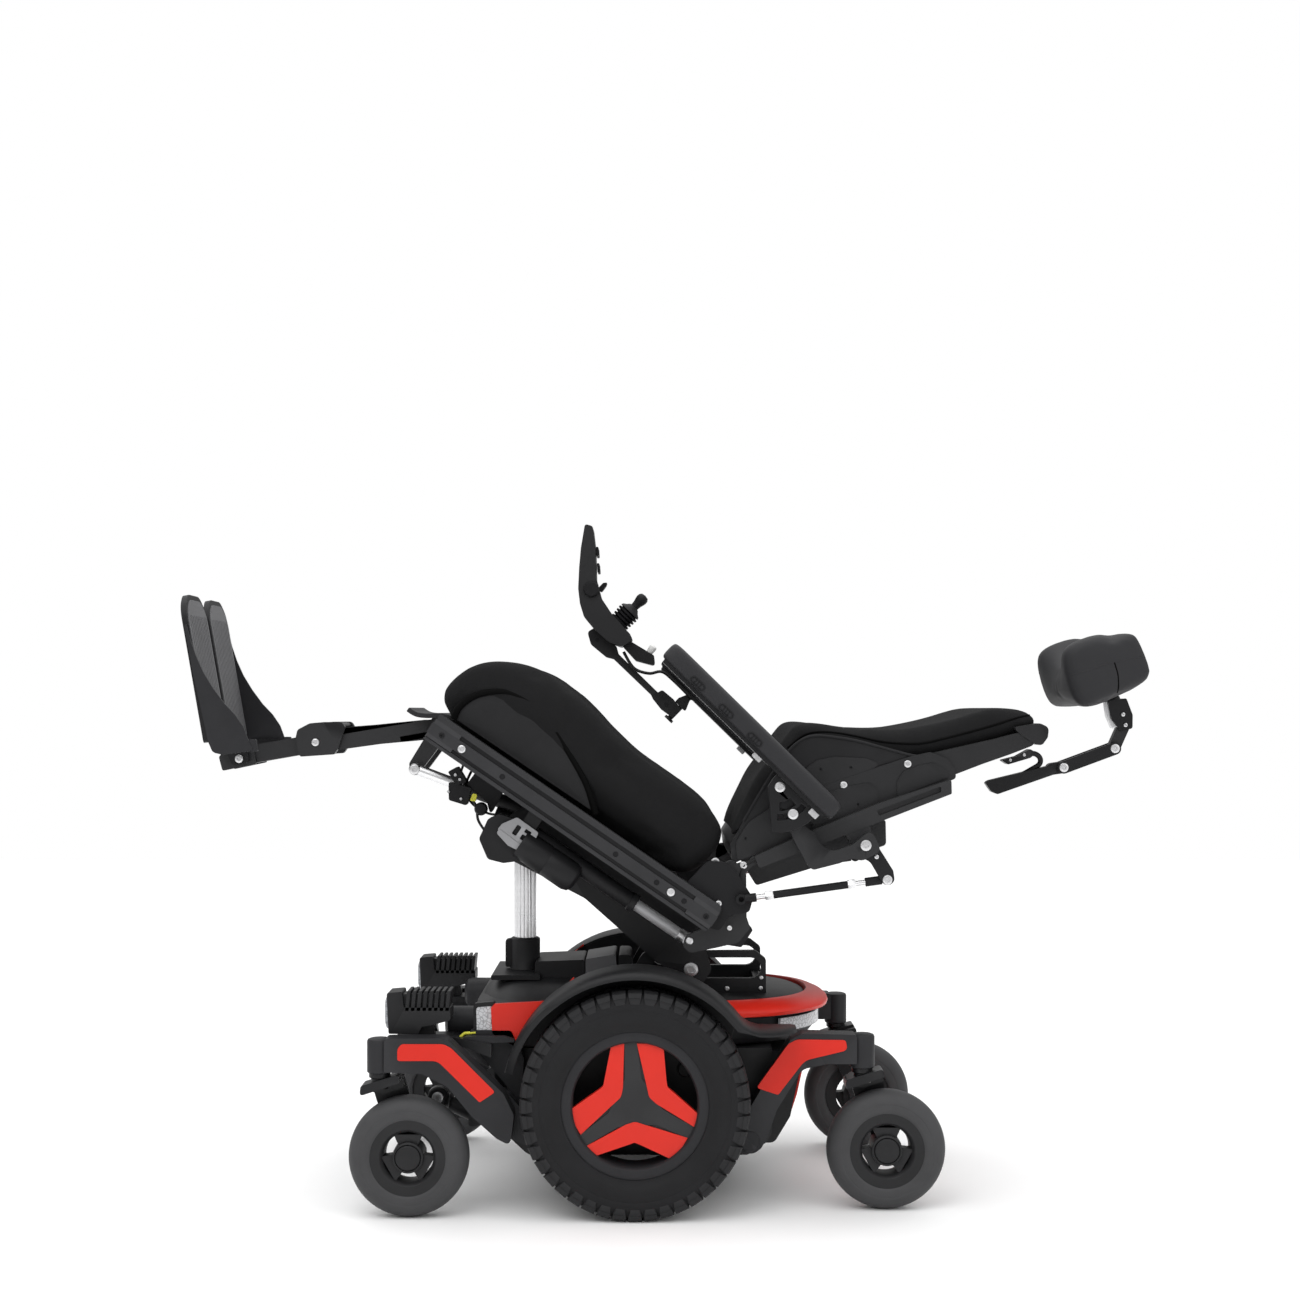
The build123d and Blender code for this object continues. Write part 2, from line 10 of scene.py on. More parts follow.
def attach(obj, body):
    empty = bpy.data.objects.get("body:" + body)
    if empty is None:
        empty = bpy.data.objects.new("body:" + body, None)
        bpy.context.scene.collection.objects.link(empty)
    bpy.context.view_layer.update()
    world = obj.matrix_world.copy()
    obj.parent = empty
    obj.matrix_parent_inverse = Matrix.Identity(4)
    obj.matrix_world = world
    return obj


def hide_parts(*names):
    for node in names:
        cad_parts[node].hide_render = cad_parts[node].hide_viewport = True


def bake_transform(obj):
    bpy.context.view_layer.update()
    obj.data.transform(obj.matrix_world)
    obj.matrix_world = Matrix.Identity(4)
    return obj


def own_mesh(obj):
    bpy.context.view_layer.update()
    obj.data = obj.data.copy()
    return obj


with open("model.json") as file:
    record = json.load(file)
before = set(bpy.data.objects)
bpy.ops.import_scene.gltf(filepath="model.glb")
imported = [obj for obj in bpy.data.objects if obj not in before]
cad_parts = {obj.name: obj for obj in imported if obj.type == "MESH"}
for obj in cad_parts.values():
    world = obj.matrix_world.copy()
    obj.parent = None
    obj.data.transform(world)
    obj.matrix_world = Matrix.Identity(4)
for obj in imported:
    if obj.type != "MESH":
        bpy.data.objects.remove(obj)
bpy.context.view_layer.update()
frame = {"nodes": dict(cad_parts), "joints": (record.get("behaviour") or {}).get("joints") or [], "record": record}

MM = 0.001

# -------------------------------------------------- frames of the sub-assemblies
SEAT_TILT = 34.4
BACK_LEAN = 67.5
ARM_LEAN = 44.4
LEG_LEAN = -9.9
joint_place = {j["name"]: Vector(j["pos_m"]) for j in frame["joints"] if "pos_m" in j}


def turned(place, degrees):
    """A frame whose x runs rearward and z upward along a part that leans back by some degrees."""
    origin = Vector((place.x, 0, place.z))
    return Matrix.Translation(origin) @ Matrix.Rotation(math.radians(degrees), 4, "Y")


BASE = Matrix.Translation((joint_place["drive_wheel_left_spin"].x, 0, 0))
SEAT = turned(joint_place["seat_tilt"], SEAT_TILT)
BACK = turned(joint_place["back_recline"], BACK_LEAN)
ARM = turned(BASE @ Vector((0.225, 0, 0.666)), ARM_LEAN)
LEG = turned(joint_place["legrest_lower"], LEG_LEAN)


# -------------------------------------------------- materials
def value_node(tree, kind, **values):
    node = tree.nodes.new(kind)
    for key, value in values.items():
        if key in node.inputs:
            node.inputs[key].default_value = value
        else:
            setattr(node, key, value)
    return node


def surface(name, color, rough, metallic=0.0, grain=900.0, bump=0.15, mottle=0.15, wear=0.0,
            stretch=(1, 1, 1), weave=0.0, cells=0.0, sheen=0.32):
    """A procedural finish: mottled colour, uneven roughness and fine grain.

    weave, cells and wear add a knit, lens cells or worn edges.
    """
    material = bpy.data.materials.new(name)
    material.use_nodes = True
    tree = material.node_tree
    shader = tree.nodes["Principled BSDF"]
    link = tree.links.new
    shader.inputs["Metallic"].default_value = metallic
    shader.inputs["Specular IOR Level"].default_value = sheen
    place = tree.nodes.new("ShaderNodeTexCoord")
    mapping = value_node(tree, "ShaderNodeMapping", Scale=stretch)
    link(place.outputs["Object"], mapping.inputs["Vector"])
    broad = value_node(tree, "ShaderNodeTexNoise", Scale=14.0, Detail=6.0, Roughness=0.6)
    fine = value_node(tree, "ShaderNodeTexNoise", Scale=grain, Detail=3.0, Roughness=0.5)
    link(mapping.outputs["Vector"], broad.inputs["Vector"])
    link(mapping.outputs["Vector"], fine.inputs["Vector"])
    tone = value_node(tree, "ShaderNodeMapRange")
    tone.inputs["From Min"].default_value = 0.3
    tone.inputs["From Max"].default_value = 0.7
    tone.inputs["To Min"].default_value = 1.0 - mottle
    tone.inputs["To Max"].default_value = 1.0 + mottle
    link(broad.outputs["Fac"], tone.inputs["Value"])
    tint = value_node(tree, "ShaderNodeVectorMath", operation="SCALE")
    tint.inputs[0].default_value = color
    link(tone.outputs["Result"], tint.inputs["Scale"])
    colour_out = tint.outputs["Vector"]
    height_out = fine.outputs["Fac"]
    if weave:
        pattern = None
        for direction in ("X", "Y", "Z"):
            wave = value_node(tree, "ShaderNodeTexWave", bands_direction=direction, Scale=weave,
                              Distortion=0.6)
            link(place.outputs["Object"], wave.inputs["Vector"])
            if pattern is None:
                pattern = wave.outputs["Fac"]
            else:
                join = value_node(tree, "ShaderNodeMath", operation="MAXIMUM")
                link(pattern, join.inputs[0])
                link(wave.outputs["Fac"], join.inputs[1])
                pattern = join.outputs["Value"]
        join = value_node(tree, "ShaderNodeMath", operation="ADD")
        link(pattern, join.inputs[0])
        link(fine.outputs["Fac"], join.inputs[1])
        height_out = join.outputs["Value"]
    if cells:
        comb = value_node(tree, "ShaderNodeTexVoronoi", Scale=cells, feature="DISTANCE_TO_EDGE")
        link(place.outputs["Object"], comb.inputs["Vector"])
        edge = value_node(tree, "ShaderNodeMapRange")
        edge.inputs["From Max"].default_value = 0.12
        link(comb.outputs["Distance"], edge.inputs["Value"])
        darker = value_node(tree, "ShaderNodeMix", data_type="RGBA")
        darker.inputs["A"].default_value = (*[0.45 * c for c in color], 1)
        link(edge.outputs["Result"], darker.inputs["Factor"])
        link(colour_out, darker.inputs["B"])
        colour_out = darker.outputs["Result"]
        height_out = edge.outputs["Result"]
    if wear:
        shape = tree.nodes.new("ShaderNodeNewGeometry")
        edge = value_node(tree, "ShaderNodeMapRange")
        edge.inputs["From Min"].default_value = 0.54
        edge.inputs["From Max"].default_value = 0.62
        link(shape.outputs["Pointiness"], edge.inputs["Value"])
        worn = value_node(tree, "ShaderNodeMath", operation="MULTIPLY")
        worn.inputs[1].default_value = wear
        link(edge.outputs["Result"], worn.inputs[0])
        lighter = value_node(tree, "ShaderNodeMix", data_type="RGBA")
        lighter.inputs["B"].default_value = (*[min(1, 2.6 * c + 0.05) for c in color], 1)
        link(worn.outputs["Value"], lighter.inputs["Factor"])
        link(colour_out, lighter.inputs["A"])
        colour_out = lighter.outputs["Result"]
    link(colour_out, shader.inputs["Base Color"])
    gloss = value_node(tree, "ShaderNodeMapRange")
    gloss.inputs["To Min"].default_value = max(0.04, rough - 0.08)
    gloss.inputs["To Max"].default_value = min(1.0, rough + 0.08)
    link(broad.outputs["Fac"], gloss.inputs["Value"])
    link(gloss.outputs["Result"], shader.inputs["Roughness"])
    relief = value_node(tree, "ShaderNodeBump", Strength=bump, Distance=0.0006)
    link(height_out, relief.inputs["Height"])
    link(relief.outputs["Normal"], shader.inputs["Normal"])
    return material


PAINT = surface("satin_black_paint", (0.008, 0.008, 0.009), 0.38, grain=1500, bump=0.06, wear=0.25,
                sheen=0.26)
PLASTIC = surface("black_plastic", (0.011, 0.011, 0.012), 0.48, grain=1300, bump=0.14, wear=0.12,
                  sheen=0.22)
PLASTIC_GREY = surface("grey_black_plastic", (0.019, 0.019, 0.021), 0.50, grain=1300, bump=0.14,
                       wear=0.12, sheen=0.22)
SHELL = surface("shell_plastic", (0.010, 0.010, 0.011), 0.42, grain=1600, bump=0.10, wear=0.10, sheen=0.26)
RED = surface("red_lacquer", (0.62, 0.020, 0.010), 0.36, grain=700, bump=0.03, mottle=0.04, wear=0.05,
              sheen=0.25)
SILVER = surface("brushed_silver", (0.80, 0.80, 0.81), 0.30, metallic=1.0, grain=500, bump=0.02,
                 mottle=0.05, stretch=(1, 1, 14))
STEEL = surface("zinc_steel", (0.66, 0.66, 0.67), 0.36, metallic=1.0, grain=900, bump=0.03, mottle=0.08,
                wear=0.1)
CAST = surface("cast_metal", (0.33, 0.33, 0.34), 0.42, metallic=1.0, grain=900, bump=0.06, mottle=0.12,
               wear=0.1)
TYRE = surface("tyre_rubber", (0.009, 0.009, 0.010), 0.62, grain=600, bump=0.25, mottle=0.25, wear=0.25,
               sheen=0.22)
SATIN = surface("satin_rod", (0.40, 0.40, 0.41), 0.34, metallic=0.25, grain=900, bump=0.02, mottle=0.06)
CASTER = surface("caster_rubber", (0.050, 0.050, 0.052), 0.60, grain=500, bump=0.14, mottle=0.12,
                 sheen=0.25)
HUB = surface("hub_plastic", (0.016, 0.016, 0.017), 0.48, grain=1000, bump=0.12, wear=0.15, sheen=0.24)
FABRIC = surface("knit_cover", (0.012, 0.012, 0.0125), 0.95, grain=900, bump=0.35, mottle=0.10,
                 weave=430.0, sheen=0.10)
FABRIC_SIDE = surface("smooth_cover", (0.021, 0.021, 0.022), 0.85, grain=1200, bump=0.22, mottle=0.10,
                      weave=800.0, sheen=0.12)
PIPING = surface("piping", (0.003, 0.003, 0.003), 0.80, grain=1200, bump=0.2, weave=900.0, sheen=0.05)
SKIN = surface("soft_skin", (0.024, 0.024, 0.026), 0.60, grain=420, bump=0.14, mottle=0.08, sheen=0.2)
TREAD = surface("grip_rubber", (0.13, 0.13, 0.135), 0.50, grain=400, bump=0.2, mottle=0.08, sheen=0.2)
PANEL = surface("grey_panel", (0.10, 0.10, 0.105), 0.50, grain=1300, bump=0.10, mottle=0.06)
RAIL_METAL = surface("rail_metal", (0.024, 0.024, 0.026), 0.42, grain=1500, bump=0.06, wear=0.25,
                     sheen=0.30)
RUBBER = surface("knob_rubber", (0.006, 0.006, 0.007), 0.60, grain=700, bump=0.12, sheen=0.25)
WHITE = surface("switch_white", (0.78, 0.78, 0.77), 0.34, grain=800, bump=0.05, mottle=0.03)
YELLOW = surface("accent_yellow", (0.62, 0.60, 0.05), 0.42, grain=900, bump=0.1)
REFLECTOR = surface("reflector", (0.60, 0.61, 0.63), 0.24, grain=900, bump=0.25, mottle=0.05, cells=160.0)
LENS = surface("lamp_lens", (0.30, 0.31, 0.33), 0.14, grain=600, bump=0.1, cells=150.0)
CABLE = surface("cable_sheath", (0.010, 0.010, 0.010), 0.50, grain=900, bump=0.12, sheen=0.25)


# -------------------------------------------------- mesh helpers; local sizes in millimetres
def finish(name, mesh, frame_matrix, material, body, replaces=(), bevel=0.0, segments=2, subdivide=0,
           flat=False):
    """Puts a millimetre mesh into the row frame, gives it a finish and lets it ride on a body."""
    mesh.transform(frame_matrix @ Matrix.Scale(MM, 4))
    mesh.materials.clear()
    mesh.materials.append(material)
    if not flat:
        mesh.shade_smooth()
        mesh.set_sharp_from_angle(angle=math.radians(38))
    piece = bpy.data.objects.new(name, mesh)
    bpy.context.scene.collection.objects.link(piece)
    if bevel:
        edge = piece.modifiers.new("edge", "BEVEL")
        edge.width = bevel * MM
        edge.segments = segments
        edge.limit_method = "ANGLE"
        edge.angle_limit = math.radians(38)
        edge.use_clamp_overlap = True
        edge.harden_normals = True
    if subdivide:
        smooth = piece.modifiers.new("smooth", "SUBSURF")
        smooth.levels = subdivide
        smooth.render_levels = subdivide
    if body:
        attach(piece, body)
    if replaces:
        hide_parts(*replaces)
    return piece


def span(sign, inner, outer):
    """The low and high ends of a stretch across the chair, on the side that sign gives."""
    return sorted((sign * inner, sign * outer))


def to_mesh(name, bm):
    bmesh.ops.recalc_face_normals(bm, faces=bm.faces)
    mesh = bpy.data.meshes.new(name)
    bm.to_mesh(mesh)
    bm.free()
    return mesh


def rounded(points, steps=5):
    """Corners given as (x, z, radius) become arcs; (x, z) stays sharp."""
    out = []
    count = len(points)
    for i, point in enumerate(points):
        here = Vector(point[:2])
        radius = point[2] if len(point) > 2 else 0
        if not radius:
            out.append(here)
            continue
        back = Vector(points[i - 1][:2]) - here
        ahead = Vector(points[(i + 1) % count][:2]) - here
        half = back.angle(ahead) / 2
        reach = min(radius / math.tan(half), 0.49 * back.length, 0.49 * ahead.length)
        start = here + back.normalized() * reach
        end = here + ahead.normalized() * reach
        for k in range(steps + 1):
            t = k / steps
            out.append((1 - t) ** 2 * start + 2 * t * (1 - t) * here + t * t * end)
    return out


def circle(x, z, radius, steps=28):
    return [(x + radius * math.cos(2 * math.pi * k / steps), z + radius * math.sin(2 * math.pi * k / steps))
            for k in range(steps)]


def spline(points, steps=6, closed=False):
    """A smooth curve through points of any dimension."""
    points = [Vector(p) for p in points]
    count = len(points)
    out = []
    for i in range(count if closed else count - 1):
        a = points[i - 1] if closed or i > 0 else points[0]
        b = points[i]
        c = points[(i + 1) % count]
        d = points[(i + 2) % count] if closed or i + 2 < count else points[-1]
        for k in range(steps):
            t = k / steps
            out.append(0.5 * (2 * b + (c - a) * t + (2 * a - 5 * b + 4 * c - d) * t * t
                              + (3 * b - a - 3 * c + d) * t ** 3))
    if not closed:
        out.append(points[-1])
    return out


def add_plate(bm, outline, y_low, y_high, holes=()):
    """An outlined plate, thick across the chair, with through holes."""
    before = set(bm.faces)
    edges = []
    for ring in [outline, *holes]:
        verts = [bm.verts.new((p[0], y_low, p[1])) for p in ring]
        edges += [bm.edges.new((verts[k - 1], verts[k])) for k in range(len(verts))]
    bmesh.ops.triangle_fill(bm, edges=edges, use_beauty=True)
    faces = [f for f in bm.faces if f not in before]
    made = bmesh.ops.extrude_face_region(bm, geom=faces)["geom"]
    bmesh.ops.translate(bm, vec=(0, y_high - y_low, 0),
                        verts=[g for g in made if isinstance(g, bmesh.types.BMVert)])
    return bm


def plate(name, outline, y_low, y_high, where, material, body, holes=(), bevel=1.2, **more):
    """One plate as a piece of its own."""
    bm = bmesh.new()
    add_plate(bm, outline, y_low, y_high, holes)
    return finish(name, to_mesh(name, bm), where, material, body, bevel=bevel, **more)


def add_lathe(bm, profile, x, z, steps=64, axis="Y", y=0.0):
    """Turns (radius, along) points about a line.

    The line lies along Y through (x, z), or along Z or X through (x, y, z).
    """
    rings = []
    for k in range(steps):
        a = 2 * math.pi * k / steps
        ring = []
        for radius, along in profile:
            c, s = radius * math.cos(a), radius * math.sin(a)
            if axis == "Y":
                ring.append(bm.verts.new((x + c, y + along, z + s)))
            elif axis == "Z":
                ring.append(bm.verts.new((x + c, y + s, z + along)))
            else:
                ring.append(bm.verts.new((x + along, y + c, z + s)))
        rings.append(ring)
    for k in range(steps):
        near, far = rings[k], rings[(k + 1) % steps]
        for i in range(len(profile) - 1):
            bm.faces.new((near[i], near[i + 1], far[i + 1], far[i]))
    if profile[0] != profile[-1]:
        for end in (0, -1):
            if profile[end][0] > 1e-6:
                bm.faces.new([ring[end] for ring in rings])
    bmesh.ops.remove_doubles(bm, verts=bm.verts, dist=1e-4)
    return bm


def add_tube(bm, points, radius, steps=14):
    """A round bar along a path; radius may be a list, one per point."""
    points = [Vector(p) for p in points]
    radii = radius if isinstance(radius, (list, tuple)) else [radius] * len(points)
    up = Vector((0, 1, 0))
    first = (points[1] - points[0]).normalized()
    if abs(first.dot(up)) > 0.9:
        up = Vector((1, 0, 0))
    side = first.cross(up).normalized()
    rings = []
    for i, p in enumerate(points):
        along = (points[min(i + 1, len(points) - 1)] - points[max(i - 1, 0)]).normalized()
        side = (side - along * side.dot(along)).normalized()
        other = along.cross(side)
        ring = []
        for k in range(steps):
            a = 2 * math.pi * k / steps
            ring.append(bm.verts.new(p + radii[i] * (math.cos(a) * side + math.sin(a) * other)))
        rings.append(ring)
    for near, far in zip(rings, rings[1:]):
        for k in range(steps):
            bm.faces.new((near[k], near[k - 1], far[k - 1], far[k]))
    bm.faces.new(rings[0])
    bm.faces.new(list(reversed(rings[-1])))
    return bm


def tube(name, points, radius, where, material, body, steps=14, **more):
    """One round bar as a piece of its own."""
    bm = bmesh.new()
    add_tube(bm, points, radius, steps)
    return finish(name, to_mesh(name, bm), where, material, body, **more)


def add_box(bm, x, y, z):
    """A box from three (low, high) pairs."""
    add_plate(bm, [(x[0], z[0]), (x[1], z[0]), (x[1], z[1]), (x[0], z[1])], y[0], y[1])
    return bm


def add_bolt(bm, x, y, z, side, radius):
    """A round-headed socket bolt on a face across the chair; side is the way its head points."""
    tall = 2.6
    head = [(0, 0.35 * tall), (0.42 * radius, 0.35 * tall), (0.46 * radius, tall)]
    head += [(0.72 * radius, tall), (0.93 * radius, 0.78 * tall), (radius, 0.3 * tall), (radius, -0.5)]
    add_lathe(bm, [(r, side * along) for r, along in head], x, z, steps=24, y=y)


def give_way(piece):
    """Gives a soft piece a mesh of its own."""
    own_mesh(piece)


def bolts(name, places, where, body, material=None, both=False, **more):
    """Bolt heads at (x, y, z, radius); those left of the middle point left."""
    bm = bmesh.new()
    for x, y, z, radius in places:
        add_bolt(bm, x, y, z, -1 if y < 0 else 1, radius)
        if both:
            add_bolt(bm, x, -y, z, 1, radius)
    return finish(name, to_mesh(name, bm), where, material or STEEL, body, **more)


def strip(points, width):
    """Outline of an open path made wide."""
    points = [Vector(p[:2]) for p in points]
    left, right = [], []
    for i, p in enumerate(points):
        along = (points[min(i + 1, len(points) - 1)] - points[max(i - 1, 0)]).normalized()
        normal = Vector((-along.y, along.x)) * width / 2
        left.append(p + normal)
        right.append(p - normal)
    return left + right[::-1]


def slot_ring(x_a, x_b, z, half):
    """A slot hole with round ends, lying along x."""
    right = [(x_b + half * math.cos(a), z + half * math.sin(a)) for a in [math.pi * (k / 8 - 0.5)
            for k in range(9)]]
    left = [(x_a - half * math.cos(a), z - half * math.sin(a)) for a in [math.pi * (k / 8 - 0.5)
            for k in range(9)]]
    return right + left


def sector(inner, outer, low, high, steps=10):
    """A piece of a flat ring about the origin, between two angles in degrees."""
    angles = [math.radians(low + (high - low) * k / steps) for k in range(steps + 1)]
    near = [(inner * math.cos(a), inner * math.sin(a)) for a in reversed(angles)] if inner else [(0.0, 0.0)]
    return near + [(outer * math.cos(a), outer * math.sin(a)) for a in angles]


def link_ring(a, b, radius, steps=10):
    """A flat link's outline with round ends."""
    a, b = Vector(a), Vector(b)
    start = math.atan2((b - a).y, (b - a).x)
    out = []
    for centre, turn in ((b, start - math.pi / 2), (a, start + math.pi / 2)):
        for k in range(steps + 1):
            angle = turn + math.pi * k / steps
            out.append(centre + radius * Vector((math.cos(angle), math.sin(angle))))
    return out


SIDES = (("left", -1), ("right", 1))

# -------------------------------------------------- drive wheels
DRIVE_Y = 287.0
DRIVE_R = 178.0
LUGS = 44


def tyre_profile():
    """Half section of the drive tyre as (radius, along), seam step included, centred on its own width."""
    half = [(176.5, 0), (176.3, 12), (174.5, 22), (171, 29), (164, 34.5), (156, 37.2), (148.5, 37.8),
            (147, 37.0), (145.5, 37.6), (134, 36.8), (124, 34.0), (118.5, 30.5)]
    inner = [(114, 30), (114, 0)]
    side = half + inner
    return [(r, a) for r, a in side] + [(r, -a) for r, a in reversed(side)][1:-1]


def drive_tyre(name, sign, body, node):
    bm = bmesh.new()
    profile = tyre_profile()
    steps = 176
    rings = []
    for k in range(steps):
        a = 2 * math.pi * k / steps
        rings.append([bm.verts.new((r * math.cos(a), along, DRIVE_R + r * math.sin(a)))
                      for r, along in profile])
    for k in range(steps):
        near, far = rings[k], rings[(k + 1) % steps]
        for i in range(len(profile)):
            j = (i + 1) % len(profile)
            bm.faces.new((near[i], near[j], far[j], far[i]))
    # tread blocks: shoulder lugs in pairs with a zigzag centre row
    for k in range(LUGS):
        for side in (-1, 1):
            a0 = 2 * math.pi * (k + (0.5 if side > 0 else 0)) / LUGS
            lug(bm, a0, side)
        centre_block(bm, 2 * math.pi * (k + 0.25) / LUGS)
    bmesh.ops.translate(bm, verts=bm.verts, vec=(0, sign * DRIVE_Y, 0))
    return finish(name, to_mesh(name, bm), BASE, TYRE, body, replaces=(node,), bevel=0.5, segments=1)


def add_hexa(bm, near, far):
    """A block between two four-point faces."""
    a = [bm.verts.new(p) for p in near]
    b = [bm.verts.new(p) for p in far]
    bm.faces.new(a)
    bm.faces.new(b[::-1])
    for i in range(4):
        j = (i + 1) % 4
        bm.faces.new((a[i], b[i], b[j], a[j]))


def polar(radius, angle, along):
    return (radius * math.cos(angle), along, DRIVE_R + radius * math.sin(angle))


def lug(bm, a, side):
    """A shoulder lug that wraps from the tread onto the sidewall, tapering inward."""
    step = 2 * math.pi / LUGS
    wide, slim = 0.43 * step, 0.34 * step
    section = [(178.0, 9, slim, 0.10), (178.0, 26, wide, 0.0), (174.6, 33.4, wide, 0),
               (167, 37.7, 0.95 * wide, 0), (160, 38.0, 0.75 * wide, 0)]
    base = [(174, 8), (172, 24), (168, 30), (162, 34), (156, 36)]
    for i in range(len(section) - 1):
        (r0, y0, w0, s0), (r1, y1, w1, s1) = section[i], section[i + 1]
        (b0, c0), (b1, c1) = base[i], base[i + 1]
        near = [polar(r0, a - w0 + s0 * step, side * y0), polar(r0, a + w0 + s0 * step, side * y0),
                polar(b0, a + w0 + s0 * step, side * c0), polar(b0, a - w0 + s0 * step, side * c0)]
        far = [polar(r1, a - w1 + s1 * step, side * y1), polar(r1, a + w1 + s1 * step, side * y1),
               polar(b1, a + w1 + s1 * step, side * c1), polar(b1, a - w1 + s1 * step, side * c1)]
        add_hexa(bm, near, far)


def centre_block(bm, a):
    step = 2 * math.pi / LUGS
    top = [polar(178.0, a - 0.30 * step, -7), polar(178.0, a + 0.18 * step, -7),
           polar(178.0, a + 0.34 * step, 7), polar(178.0, a - 0.14 * step, 7)]
    low = [polar(174.0, a - 0.32 * step, -7.5), polar(174.0, a + 0.20 * step, -7.5),
           polar(174.0, a + 0.36 * step, 7.5), polar(174.0, a - 0.16 * step, 7.5)]
    add_hexa(bm, top, low)


CHEVRON = [(-74, -62, 1), (-14, -29.5, 8), (0, -25, 14), (14, -29.5, 8), (81, -50, 1), (70, -68),
           (53, -81.5, 1), (7, -60, 8), (-1, -57, 6), (-9, -60, 8), (-59, -77, 1), (-67, -70)]


def spun(points, degrees):
    a = math.radians(degrees)
    return [(x * math.cos(a) - z * math.sin(a), x * math.sin(a) + z * math.cos(a) + DRIVE_R, *rest)
            for x, z, *rest in points]


def drive_wheel(side, sign):
    body = "drive_wheel_" + side
    drive_tyre("tyre_" + side, sign, body, "drive_tyre_" + side)
    outer = DRIVE_Y + 29.0
    bm = bmesh.new()
    ring = [(96, outer - 60), (96, outer - 9), (97, outer - 3), (99.5, outer - 0.5), (106, outer),
            (114, outer - 0.8), (118.3, outer - 3.5), (118.3, outer - 56), (110, outer - 60),
            (96, outer - 60)]
    add_lathe(bm, [(r, sign * y) for r, y in ring], 0, DRIVE_R, steps=96)
    add_lathe(bm, [(0, sign * (outer - 8)), (26, sign * (outer - 8)), (30, sign * (outer - 30)),
                   (36, sign * (outer - 58)), (13, sign * (outer - 62))], 0, DRIVE_R, steps=48)
    finish("rim_" + side, to_mesh("rim", bm), BASE, PLASTIC_GREY, body, replaces=("drive_rim_" + side,))
    bm = bmesh.new()
    face = outer - 7.5
    low, high = span(sign, face, face - 10)
    arm = [(13, 40, 10), (9.5, 99.4), (-9.5, 99.4), (-13, 40, 10), (-28.6, 16.5, 6)]
    star = [point for degrees in (4, 124, 244) for point in spun(arm, degrees)]
    add_plate(bm, rounded(star), low, high)
    arm = [(17, 34, 10), (12.5, 98.6), (-12.5, 98.6), (-17, 34, 10), (-30, 17.3, 6)]
    backing = [point for degrees in (2, 122, 242) for point in spun(arm, degrees)]
    add_plate(bm, rounded(backing), *span(sign, face - 2.5, face - 12))
    finish("rim_star_" + side, to_mesh("star", bm), BASE, HUB, body)
    bm = bmesh.new()
    low, high = span(sign, face + 0.9, face - 12)
    for degrees in (0, 120, 240):
        add_plate(bm, rounded(spun(CHEVRON, degrees if sign < 0 else -degrees)), low, high)
    if sign > 0:
        bmesh.ops.scale(bm, verts=bm.verts, vec=(-1, 1, 1))
    finish("rim_inlays_" + side, to_mesh("inlays", bm), BASE, RED, body, bevel=1.0)


for side, sign in SIDES:
    drive_wheel(side, sign)


# -------------------------------------------------- casters
CASTER_R = 94.0


